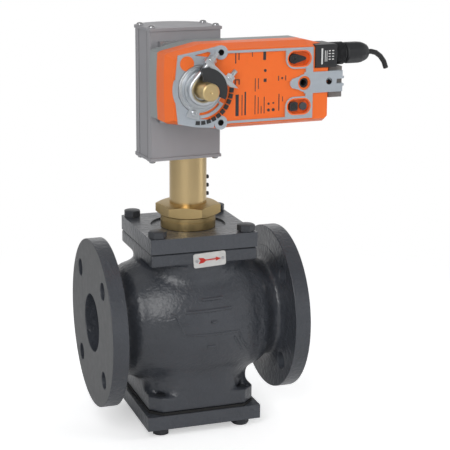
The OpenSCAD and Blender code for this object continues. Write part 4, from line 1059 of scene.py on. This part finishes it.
class CLAMP_OT_bend(bpy.types.Operator):
    """Bends the U-bolt, with its threaded legs, and fits the two flanged nuts"""

    bl_idname = "valve.bend_clamp"
    bl_label = "Clamp"

    def execute(self, context):
        place = clamp_place()
        arc = [(x, 0, z) for x, z in circle(LEG_OUT, 15, start=180)]
        shape = bmesh.new()
        swept(shape, [(-LEG_OUT, 0, BAR_END), *arc, (LEG_OUT, 0, BAR_END)], LEG_R, 24)
        for x in (-LEG_OUT, LEG_OUT):
            threaded(shape, LEG_R, LEG_PITCH, LEG_THREAD, THREAD_START, LEG_END, (x, 0, 0))
        done(shape, "u_bolt", place, "drive", "zinc_plate", ["clamp_u_bolt"], angle=50)
        low, high = NUT_HEX
        shape = bmesh.new()
        for x, turn in ((-LEG_OUT, 12), (LEG_OUT, 40)):
            on_bridge = (x, 0, BRIDGE_TOP)
            turned(shape, NUT_FLANGE, on_bridge, steps=36, closed=True)
            hexagon(shape, CLAMP_NUT_WIDTH, low, high, on_bridge, turn=turn, bore=LEG_R)
        done(shape, "flanged_nuts", place, "drive", "zinc_plate", ["clamp_nuts"])
        return {"FINISHED"}


SHAFT_CHAMFER = 1.2
# Rings left by the tool on the shaft's end: how many, how deep and where they stop.
TOOL_RINGS = 12
TOOL_RING_DEPTH = 0.06
RINGS_END_R = 1.6
# The centre mark, as (radius, in from the end).
CENTRE_MARK = [(1.2, 0.2), (0.2, 1.1)]


class SHAFT_OT_turn(bpy.types.Operator):
    """Turns the brass shaft with its chamfer and centre mark"""

    bl_idname = "valve.turn_shaft"
    bl_label = "Drive shaft"

    def execute(self, context):
        low, high = reach("drive_shaft", HEAD)
        radius = (high.x - low.x) / 2
        back, front = -high.y, -low.y
        across = np.linspace(radius - SHAFT_CHAMFER, RINGS_END_R, TOOL_RINGS)
        rings = [(r, front - TOOL_RING_DEPTH * (k % 2)) for k, r in enumerate(across)]
        rings += [(r, front - inwards) for r, inwards in CENTRE_MARK]
        shape = bmesh.new()
        turned(shape, [(radius, back), (radius, front - SHAFT_CHAMFER), *rings], axis="Y", steps=72)
        done(shape, "brass_shaft", HEAD, "drive", "brass", ["drive_shaft"], look="brass_turned", angle=24)
        return {"FINISHED"}


# The hub's two rings: radius, and half the thickness of the bead.
HUB_BEADS = [(23.1, 0.75), (20.4, 0.6)]


class HUB_OT_ring(bpy.types.Operator):
    """Rolls the bright beads round the hub's face"""

    bl_idname = "valve.ring_hub"
    bl_label = "Hub rings"

    def execute(self, context):
        face = -reach("face_bezel", HEAD)[0].y
        shape = bmesh.new()
        for radius, bead in HUB_BEADS:
            section = circle(bead, 12, (radius, face))
            turned(shape, section, axis="Y", steps=72, closed=True)
        done(shape, "hub_beads", HEAD, "drive", "zinc_plate")
        return {"FINISHED"}


# The actuator's face, from the shaft's axis, and how far print stands off and sinks into a face.

COVER_FACE = 85.0
PRINT_STEP = 0.12
PRINT_SUNK = 0.05

# Plain bars on the cover: (x, z, width, height).
PRINT_BARS = [
    (41.0, -19.1, 3.6, 22.0), (46.5, -19.3, 0.8, 21.0), (50.1, -17.7, 1.6, 24.0),
    (39.0, 29.2, 1.2, 11.0), (42.6, 31.0, 1.0, 8.0), (57.6, 32.1, 0.8, 4.6), (71.4, 30.3, 3.2, 9.0),
    (61.2, 0.8, 0.8, 13.4), (61.2, -19.8, 0.8, 19.7), (64.8, 1.8, 0.8, 11.0),
    (64.8, -20.6, 0.8, 17.3), (68.2, -25.3, 0.8, 7.8), (71.6, -20.6, 0.8, 17.3),
    (72.3, 5.0, 3.2, 3.4), (88.4, -18.6, 1.0, 17.3), (92.6, -15.5, 0.8, 5.0),
    (87.6, 6.2, 1.0, 5.0), (95.8, 6.2, 1.0, 5.0), (38.6, 4.6, 1.2, 5.0), (43.0, 4.6, 1.2, 5.0),
    (40.8, 7.0, 5.6, 1.0),
]
# Dots on the cover: (x, z, radius).
PRINT_DOTS = [
    (76.6, -19.5, 1.3), (76.6, -26.0, 1.6), (82.0, -26.0, 1.7), (82.0, -19.0, 1.0),
    (72.3, 15.0, 1.6), (91.7, 6.2, 1.2),
]


class PRINT_OT_lay(bpy.types.Operator):
    """Lays the plain black bars and dots on the cover"""

    bl_idname = "valve.lay_print"
    bl_label = "Cover print"

    def execute(self, context):
        outlines = [box_outline(width, height, (x, z)) for x, z, width, height in PRINT_BARS]
        outlines += [circle(radius, 24, (x, z)) for x, z, radius in PRINT_DOTS]
        shape = bmesh.new()
        for outline in outlines:
            plate(shape, outline, COVER_FACE - PRINT_SUNK, COVER_FACE + PRINT_STEP, axis="Y")
        done(shape, "cover_print", HEAD, "valve", "black_plastic", look="print_black")
        return {"FINISHED"}


# The connector and its gland, along their own axis: places to the right of the shaft's axis.

BLOCK_HEIGHT = 24.0
BLOCK_CORNER = 1.6
BLOCK_EDGE = 1.3
BLOCK_RIGHT = 155.0
RIBS_RIGHT = 170.0
RIBS = 10
RIB_R = 12.0
NECK_CORE_R = 9.0
NECK_END = 194.0
GLAND_LEFT = 172.6
GLAND_RIGHT = 200.0
GLAND_FLATS = 8
GLAND_FLAT_SHARE = 0.955

# White marks on the connector's front: (x, z, width, height) from the shaft's axis.
WHITE_BARS = [(136.8, 26.8, 1.8, 16.5), (140.4, 27.0, 0.7, 11.5), (142.4, 27.0, 0.7, 11.5)]
WHITE_BARS += [(x, z, 2.4, 1.1) for x in (145.6, 149.6) for z in (32.3, 29.3, 26.4, 23.5)]
# The neck's ribs: how deep, and where on a rib's length its sides lie.
RIB_DEPTH = 1.1
RIB_SIDES = (0.25, 0.65, 0.9)
# The gland nut's profile, as (in from its radius, right of its left end), and then its bore.
GLAND_STEPS = [(1.4, 0.0), (0.2, 1.2), (0.0, 3.0), (0.0, 15.5), (0.7, 19.5), (1.9, 23.0), (3.4, 26.0),
               (4.6, 27.2)]
GLAND_BORE = [(3.1, 0.0), (2.9, 1.5), (AT_AXIS, 1.5)]


def sleeve(shape, profile, flats, flat_in, centre):
    """A lathe-turned shape that points to the right, with its widest part cut back to flats."""
    rings = []
    for radius, h in profile:
        ring = []
        for t in around(96):
            r = min(radius, to_flat(t, flats, flat_in))
            ring.append(at(centre, "X", r * cos(t), r * sin(t), h))
        rings.append(ring)
    loft(shape, rings)


class CONNECTOR_OT_mould(bpy.types.Operator):
    """Moulds the connector block, its ribbed neck, the gland nut and its plain white marks"""

    bl_idname = "valve.mould_connector"
    bl_label = "Connector and gland"

    def execute(self, context):
        low, high = reach("connector_plug", HEAD)
        nut_low, nut_high = reach("gland_nut", HEAD)
        axis = (0, (nut_low.y + nut_high.y) / 2, (nut_low.z + nut_high.z) / 2)
        box = rounded_box(high.y - low.y, BLOCK_HEIGHT, BLOCK_CORNER, ((low.y + high.y) / 2, axis[2]))
        shape = bmesh.new()
        plate(shape, box, low.x, BLOCK_RIGHT, axis="X")
        done(shape, "connector_block", HEAD, "valve", "black_plastic", ["connector_plug"], edge=BLOCK_EDGE)
        step = (RIBS_RIGHT - BLOCK_RIGHT) / RIBS
        groove_r = RIB_R - RIB_DEPTH
        rise, top, fall = RIB_SIDES
        # The neck starts inside the block, and its ribs fall a little short of each other.
        profile = [(groove_r - 0.1, BLOCK_RIGHT - 3)]
        for k in range(RIBS):
            left = BLOCK_RIGHT + k * step
            profile += [(groove_r, left), (RIB_R, left + step * rise), (RIB_R, left + step * top),
                        (groove_r, left + step * fall)]
        profile += [(NECK_CORE_R, RIBS_RIGHT), (NECK_CORE_R, NECK_END), (NEAR_AXIS, NECK_END)]
        shape = bmesh.new()
        turned(shape, profile, axis, "X", 72)
        done(shape, "ribbed_neck", HEAD, "valve", "black_plastic", ["connector_plug", "cable_gland"],
             angle=50)
        r = nut_high.z - axis[2]
        shape = bmesh.new()
        profile = [(NEAR_AXIS, GLAND_LEFT)]
        profile += [(r - inwards, GLAND_LEFT + right) for inwards, right in GLAND_STEPS]
        profile += [(bore, GLAND_RIGHT - inwards) for bore, inwards in GLAND_BORE]
        sleeve(shape, profile, GLAND_FLATS, r * GLAND_FLAT_SHARE, axis)
        done(shape, "gland_cap", HEAD, "valve", "black_plastic", ["gland_nut"], angle=28, edge=0.15)
        shape = bmesh.new()
        for x, z, width, height in WHITE_BARS:
            mark = rounded_box(width, height, min(width, height) * 0.3, (x, z))
            plate(shape, mark, -low.y - PRINT_SUNK, -low.y + PRINT_STEP, axis="Y")
        done(shape, "connector_marks", HEAD, "valve", "black_plastic", look="print_white")
        return {"FINISHED"}


# The two pockets in the actuator's face: their middles, and half the length and height of their slots.
POCKET_AT = [(111.0, 25.5), (111.0, -24.2)]
POCKET_HALF = 12.8
POCKET_R = 7.5
POCKET_RIM = 1.3
TRIM_THICK = 1.2
# How far the rims stand over the trim, and how far the arm stays under it and sinks in.
RIM_OVER = 0.1
ARM_UNDER = 0.02
ARM_SUNK = 0.5
# Outline that joins the trim's upper arm to the boss beside it.
ARM_END = [(8.5, 36.6), (10.5, 40.4), (20.5, 42.3), (17.0, 38.5), (15.8, 34.8), (14.4, 33.0), (12.4, 35.6)]
# Holes whose shade is painted black: (x, z, radius, how far the black mouth stands over the trim), each lined by a
# black cup of painted shade.
SHADE_CUP_DEPTH = 5.0
SHADE_CUP_RIM = 0.5
SHADE_CUP_WALL = 0.7
SHADE_CUP_FLOOR = 1.0
SHADED_HOLES = [(22.5, 35.6, 3.16, -0.1), (22.5, -35.6, 3.16, -0.1), (146.0, 0.5, 3.5, 0.12)]


class TRIM_OT_edge(bpy.types.Operator):
    """Rims the two pockets, joins the trim's arm to its boss and lines the deep holes with black cups of painted
    shade
    """

    bl_idname = "valve.edge_trim"
    bl_label = "Trim details"

    def execute(self, context):
        shape = bmesh.new()
        half = POCKET_HALF - POCKET_R
        for x, z in POCKET_AT:
            outer, inner = [circle(r, 20, (x + half, z), -90, 90) + circle(r, 20, (x - half, z), 90, 270)
                            for r in (POCKET_R + POCKET_RIM, POCKET_R)]
            plate(shape, outer, COVER_FACE, COVER_FACE + TRIM_THICK + RIM_OVER, axis="Y", holes=[inner])
        done(shape, "pocket_rims", HEAD, "valve", "orange_plastic", edge=0.15)
        shape = bmesh.new()
        plate(shape, ARM_END, COVER_FACE - ARM_SUNK, COVER_FACE + TRIM_THICK - ARM_UNDER, axis="Y")
        done(shape, "trim_arm", HEAD, "valve", "trim_grey_plastic", edge=0.1)
        shape = bmesh.new()
        # A black cup of painted shade in each hole.
        for x, z, radius, over in SHADED_HOLES:
            mouth = COVER_FACE + TRIM_THICK + over
            foot = mouth - SHADE_CUP_DEPTH
            floor = foot + SHADE_CUP_FLOOR
            turned(shape, [(AT_AXIS, foot), (radius, foot), (radius, mouth), (radius - SHADE_CUP_RIM, mouth),
                           (radius - SHADE_CUP_WALL, floor), (AT_AXIS, floor)], (x, 0, z), "Y", 36)
        done(shape, "dark_holes", HEAD, "valve", "black_plastic", look="deep_black")
        return {"FINISHED"}


# The end stop's screw: radius, outline as (share of the radius, height), and half its cross.
STOP_SCREW_R = 3.4
STOP_DOME = [(1.0, -0.4), (1.0, 0.5), (0.9, 1.1), (0.65, 1.6), (0.3, 1.8)]
STOP_CROSS = (1.9, 0.42)
# The lever: radius of its tip, from pivot to tip, and how far it reaches back; then its socket.
LEVER_TIP_R = 1.9
LEVER_REACH = 11.8
LEVER_THICK = 3.6
SOCKET_R = 2.9
SOCKET_FLAT = 1.45
# The knob's face: radius, how far it sinks in and stands out, and its slot's length, width and corner.
KNOB_R = 3.2
KNOB_STEP = (-0.2, 0.5)
KNOB_SLOT = (4.4, 1.2, 0.5)


def frontmost(node):
    """Middle and half the width of a head node's foremost face, in millimetres in the head's frame."""
    depth = 0.3
    points = points_of(node, HEAD)
    front = points[points[:, 1] < points[:, 1].min() + depth]
    low, high = front.min(0), front.max(0)
    return Vector((low + high) / 2), float(high[0] - low[0]) / 2


def stop_screw():
    """The end stop's pan screw with its cross recess."""
    foot_depth, recess_floor, clear = 0.6, 0.7, 3.0
    spot, radius = frontmost("end_stop")
    spot.y += foot_depth
    r = max(radius, STOP_SCREW_R)
    dome = [(share * r, height) for share, height in STOP_DOME] + [(AT_AXIS, 1.85)]
    shape, crosses = bmesh.new(), bmesh.new()
    turned(shape, dome, spot, "Y", 36)
    plate(crosses, cross(*STOP_CROSS, 22), recess_floor, clear, spot, "Y")
    cutter = into_mesh(crosses, "stop_cross", HEAD)
    piece(carved(into_mesh(shape, "stop_screw", HEAD), cutter), "end_stop", "zinc_plate")


def gear_lever():
    """The lock lever, a drop with a blunt tip, and a boss with a hexagon socket over its pivot."""
    low, high = reach("lock_lever", HEAD)
    half = (high.z - low.z) / 2
    pivot = (low.x + half, low.y, (low.z + high.z) / 2)
    lean = degrees(acos((half - LEVER_TIP_R) / LEVER_REACH))
    drop = circle(half, 40, start=lean, end=360 - lean)
    drop += circle(LEVER_TIP_R, 14, (LEVER_REACH, 0), -lean, lean)
    shape = bmesh.new()
    plate(shape, drop, -LEVER_THICK, 0, pivot, "Y")
    done(shape, "gear_lever", HEAD, "lock_lever", "black_plastic", ["lock_lever"], edge=0.6)
    # The boss goes up its round side and comes down again inside its hexagon.
    foot, top, bevel = -0.3, 0.7, 0.3
    rings = []
    for radius, level in ((SOCKET_R, foot), (SOCKET_R, top / 2), (SOCKET_R - bevel, top),
                          (None, top), (None, foot)):
        ring = []
        for t in around(48):
            r = radius or to_flat(t, 6, SOCKET_FLAT)
            ring.append(at(pivot, "Y", r * cos(t), r * sin(t), level))
        rings.append(ring)
    shape = bmesh.new()
    loft(shape, rings, closed=True)
    done(shape, "lever_socket", HEAD, "lock_lever", "black_plastic")


def knob_face():
    """The setting knob's raised face with its slot."""
    spot = frontmost("setting_knob")[0]
    shape = bmesh.new()
    plate(shape, circle(KNOB_R, 40), *KNOB_STEP, spot, "Y", holes=[rounded_box(*KNOB_SLOT)])
    done(shape, "knob_face", HEAD, "setting_knob", "black_plastic", edge=0.15)


class CONTROLS_OT_fit(bpy.types.Operator):
    """Fits the end stop's cross screw, the lever and the knob's slotted face"""

    bl_idname = "valve.fit_controls"
    bl_label = "Screw, lever and knob faces"

    def execute(self, context):
        stop_screw()
        gear_lever()
        knob_face()
        return {"FINISHED"}


# Nodes whose look isn't their slot's own.
LOOKS = {"push_button": "button_grey", "side_lug": "lug_grey", "neck_tube": "brass"}
# Rounding of the edges of the small nodes, in millimetres.
EDGES = {
    "clamp_bridge": 0.4, "clamp_pad": 0.7, "lock_lever": 0.5, "setting_knob": 0.3, "push_button": 0.3,
    "end_stop": 0.5, "cap_disc": 0.5, "side_lug": 0.6, "connector_plug": 0.6, "cable_gland": 0.4,
    "gland_nut": 0.4,
}


class VALVE_OT_dress(bpy.types.Operator):
    """Gives every CAD node its finish and soft edges"""

    bl_idname = "valve.dress_frame"
    bl_label = "Dress the CAD nodes"

    def execute(self, context):
        head = context.scene.head_sizes
        cast = context.scene.valve_sizes.edge_round / MM
        cover, case, trim = (v / MM for v in (head.cover_round, head.case_round, head.trim_round))
        edges = {
            **EDGES, "bonnet_plate": cast, "bottom_cover": cast, "front_cover": cover,
            "rear_housing": cover, "face_bezel": trim, "linkage_case": case, "case_top_cap": case,
            "case_bottom_cap": case,
        }
        for row in frame["record"]["subparts"]:
            node = row["node"]
            obj = frame["nodes"][node]
            obj.data.materials.clear()
            obj.data.materials.append(finishes()[LOOKS.get(node, row["material_slot"])])
            smooth(obj)
            if node in edges:
                rounded(obj, edges[node])
        return {"FINISHED"}


# The stage.

CAMERA_YAW = -0.339
AIM_X = 0.11
# Bright and dark bands that metal reflects: place round the valve, 0.5 towards the camera, and level.
BEHIND_LEVEL = 1.05
BANDS = [
    (0.15, 0.8), (0.395, 0.85), (0.41, 0.34), (0.575, 0.38), (0.585, 1.3), (0.61, 1.25), (0.63, 0.9),
    (0.85, 0.8),
]
WHITE = (1.0, 1.0, 1.0, 1.0)
# The world's light on everything that doesn't mirror it.
SOFT_TINT = (0.95, 0.97, 1.0, 1.0)
SOFT_LEVEL = 0.3
# How much light the floor adds of its own, and where it turns into the world's white.
FLOOR_LIFT = 0.48
FADE_FROM = 0.22
FADE_TO = 0.75
# The lamps: name, place, width, height, watts, and whether gloss shows them.
LAMPS = [
    ("key lamp", (-0.9, -1.5, 1.2), 1.0, 1.4, 19.0, True),
    ("side lamp", (1.5, -0.5, 0.5), 0.5, 1.6, 9.0, False),
    ("top lamp", (0.1, 0.1, 1.8), 1.6, 1.2, 2.6, True),
    ("rim lamp", (0.6, 1.4, 0.7), 1.2, 1.2, 8.0, False),
]


def make_camera():
    """The camera at the photograph's angle and distance."""
    stand = Vector((-0.3226, -1.3489, 0.4599))
    yaw, pitch, roll = CAMERA_YAW, 0.248, 0.007
    focal_share = 2.9607  # focal length over the width of the picture
    back = Vector((sin(yaw) * cos(pitch), -cos(yaw) * cos(pitch), sin(pitch)))
    right = Vector((cos(yaw), sin(yaw), 0))
    up = back.cross(right)
    tilted_right = cos(roll) * right + sin(roll) * up
    tilted_up = cos(roll) * up - sin(roll) * right
    lens = bpy.data.cameras.new("camera")
    lens.sensor_width = 36.0
    lens.lens = lens.sensor_width * focal_share
    lens.clip_start, lens.clip_end = 0.05, 20.0
    camera = bpy.data.objects.new("camera", lens)
    turn = Matrix((tilted_right, tilted_up, back)).transposed().to_4x4()
    camera.matrix_world = Matrix.Translation(stand) @ turn
    bpy.context.scene.collection.objects.link(camera)
    bpy.context.scene.camera = camera


def make_lamp(target, name, where, width, height, watts, mirrored):
    """A soft rectangular lamp that faces its target; gloss shows it only if it is mirrored."""
    lamp = bpy.data.lights.new(name, "AREA")
    lamp.shape = "RECTANGLE"
    lamp.size, lamp.size_y = width, height
    lamp.energy = watts
    made = bpy.data.objects.new(name, lamp)
    made.location = where
    made.visible_glossy = mirrored
    made.rotation_euler = (Vector(target) - Vector(where)).to_track_quat("-Z", "Y").to_euler()
    bpy.context.scene.collection.objects.link(made)


def make_world():
    """A plain white world; its light is softer, and metal reflects upright bright and dark bands of it."""
    world = bpy.data.worlds.new("studio")
    bpy.context.scene.world = world
    world.use_nodes = True
    tree = world.node_tree
    tree.nodes.clear()
    way = add(tree, "SeparateXYZ", {0: add(tree, "TexCoord").outputs["Generated"]}).outputs
    turn = maths(tree, "ARCTAN2", way["X"], maths(tree, "MULTIPLY", way["Y"], -1.0))
    # From straight behind the valve, round by the left, the camera and the right, back to behind it.
    from_camera = maths(tree, "ADD", turn, -CAMERA_YAW)
    share = maths(tree, "ADD", maths(tree, "MULTIPLY", from_camera, 0.5 / pi), 0.5)
    bands = add(tree, "ValToRGB", {"Fac": maths(tree, "FRACT", share)})
    ramp = bands.color_ramp.elements
    ramp[0].color = ramp[1].color = (BEHIND_LEVEL, BEHIND_LEVEL, BEHIND_LEVEL, 1.0)
    for position, level in BANDS:
        ramp.new(position).color = (level, level, level, 1.0)
    path = add(tree, "LightPath").outputs
    seen = maths(tree, "MAXIMUM", path["Is Camera Ray"], path["Is Transmission Ray"])
    soft = add(tree, "Background", {"Color": SOFT_TINT, "Strength": SOFT_LEVEL})
    # Overhead the bands fade into an even grey, so that level faces stay dull.
    over = add(tree, "MapRange", {"Value": way["Z"], "From Min": 0.25, "From Max": 0.7,
                                  "To Min": 0.85, "To Max": 0.34})
    glossy = add(tree, "Background", {"Color": bands.outputs["Color"], "Strength": over.outputs[0]})
    white = add(tree, "Background", {"Color": WHITE, "Strength": 1.0})
    lit = add(tree, "MixShader", {0: path["Is Glossy Ray"], 1: soft.outputs[0], 2: glossy.outputs[0]})
    mixed = add(tree, "MixShader", {0: seen, 1: lit.outputs[0], 2: white.outputs[0]})
    put = add(tree, "OutputWorld")
    tree.links.new(mixed.outputs[0], put.inputs["Surface"])


def make_floor():
    """A wide pale floor under the bottom bolts."""
    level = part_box("bottom_bolts")[0].z
    half = 6.0
    shape = bmesh.new()
    sides = ((-1, -1), (1, -1), (1, 1), (-1, 1))
    shape.faces.new([shape.verts.new((x * half, y * half, 0)) for x, y in sides])
    floor = into_mesh(shape, "floor", Matrix.Translation((0, 0, level)))
    pale = bpy.data.materials.new("pale_floor")
    pale.use_nodes = True
    tree = pale.node_tree
    shader = tree.nodes["Principled BSDF"]
    shader.inputs["Base Color"].default_value = (0.9, 0.9, 0.9, 1.0)
    shader.inputs["Roughness"].default_value = 0.9
    shader.inputs["Specular IOR Level"].default_value = 0.1
    # Far from the valve the floor turns into the white of the world, so that no horizon shows.
    place = add(tree, "TexCoord").outputs["Object"]
    away = add(tree, "VectorMath", {0: place, 1: (AIM_X, 0.0, 0.0)}, operation="DISTANCE")
    far = add(tree, "MapRange", {"Value": away.outputs["Value"], "From Min": FADE_FROM, "From Max": FADE_TO},
              interpolation_type="SMOOTHSTEP")
    seen = add(tree, "LightPath").outputs["Is Camera Ray"]
    glow = maths(tree, "MULTIPLY", seen, FLOOR_LIFT)
    lift = add(tree, "Emission", {"Color": WHITE, "Strength": glow})
    near = add(tree, "AddShader", {0: shader.outputs[0], 1: lift.outputs[0]})
    white = add(tree, "Emission", {"Color": WHITE, "Strength": 1.0})
    mixed = add(tree, "MixShader", {0: maths(tree, "MULTIPLY", far.outputs[0], seen),
                                    1: near.outputs[0], 2: white.outputs[0]})
    tree.links.new(mixed.outputs[0], tree.nodes["Material Output"].inputs["Surface"])
    floor.data.materials.append(pale)


class STAGE_OT_set(bpy.types.Operator):
    """Sets the camera, the lamps, the world and the floor"""

    bl_idname = "valve.set_stage"
    bl_label = "Set the stage"

    def execute(self, context):
        context.scene.view_settings.view_transform = "Standard"
        make_camera()
        make_world()
        make_floor()
        aim = (AIM_X, 0.0, (CAD_BOX[0].z + CAD_BOX[1].z) / 2)
        for lamp in LAMPS:
            make_lamp(aim, *lamp)
        return {"FINISHED"}


class VALVE_PT_panel(bpy.types.Panel):
    """Lists the operators and their sizes in the sidebar"""

    bl_label = "Globe valve"
    bl_idname = "VALVE_PT_panel"
    bl_space_type = "VIEW_3D"
    bl_region_type = "UI"
    bl_category = "Globe valve"

    def draw(self, context):
        for step in STEPS:
            self.layout.operator(step)
        scene = context.scene
        for group in (scene.valve_sizes, scene.head_sizes, scene.finish_colours):
            for key in group.__annotations__:
                self.layout.prop(group, key)


# The order in which the operators run.
OPERATORS = [
    STAGE_OT_set, CABLE_OT_lay, VALVE_OT_dress, CASTING_OT_build, FLANGES_OT_turn,
    CAST_MARKS_OT_raise, BOLTS_OT_fit, ARROW_OT_paint, NUT_OT_turn, SET_SCREWS_OT_fit,
    BEADS_OT_stand, PAN_SCREWS_OT_fit, CLAMP_OT_bend, SHAFT_OT_turn, HUB_OT_ring, PRINT_OT_lay,
    CONNECTOR_OT_mould, TRIM_OT_edge, CONTROLS_OT_fit,
]
STEPS = [cls.bl_idname for cls in OPERATORS]
CLASSES = [ValveSizes, HeadSizes, FinishColours, *OPERATORS, VALVE_PT_panel]


def main():
    """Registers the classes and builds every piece."""
    register()
    for step in STEPS:
        group, name = step.split(".")
        getattr(getattr(bpy.ops, group), name)()


def register():
    for cls in CLASSES:
        bpy.utils.register_class(cls)
    bpy.types.Scene.valve_sizes = PointerProperty(type=ValveSizes)
    bpy.types.Scene.head_sizes = PointerProperty(type=HeadSizes)
    bpy.types.Scene.finish_colours = PointerProperty(type=FinishColours)


def unregister():
    del bpy.types.Scene.finish_colours
    del bpy.types.Scene.head_sizes
    del bpy.types.Scene.valve_sizes
    for cls in reversed(CLASSES):
        bpy.utils.unregister_class(cls)


if __name__ == "__main__":
    main()
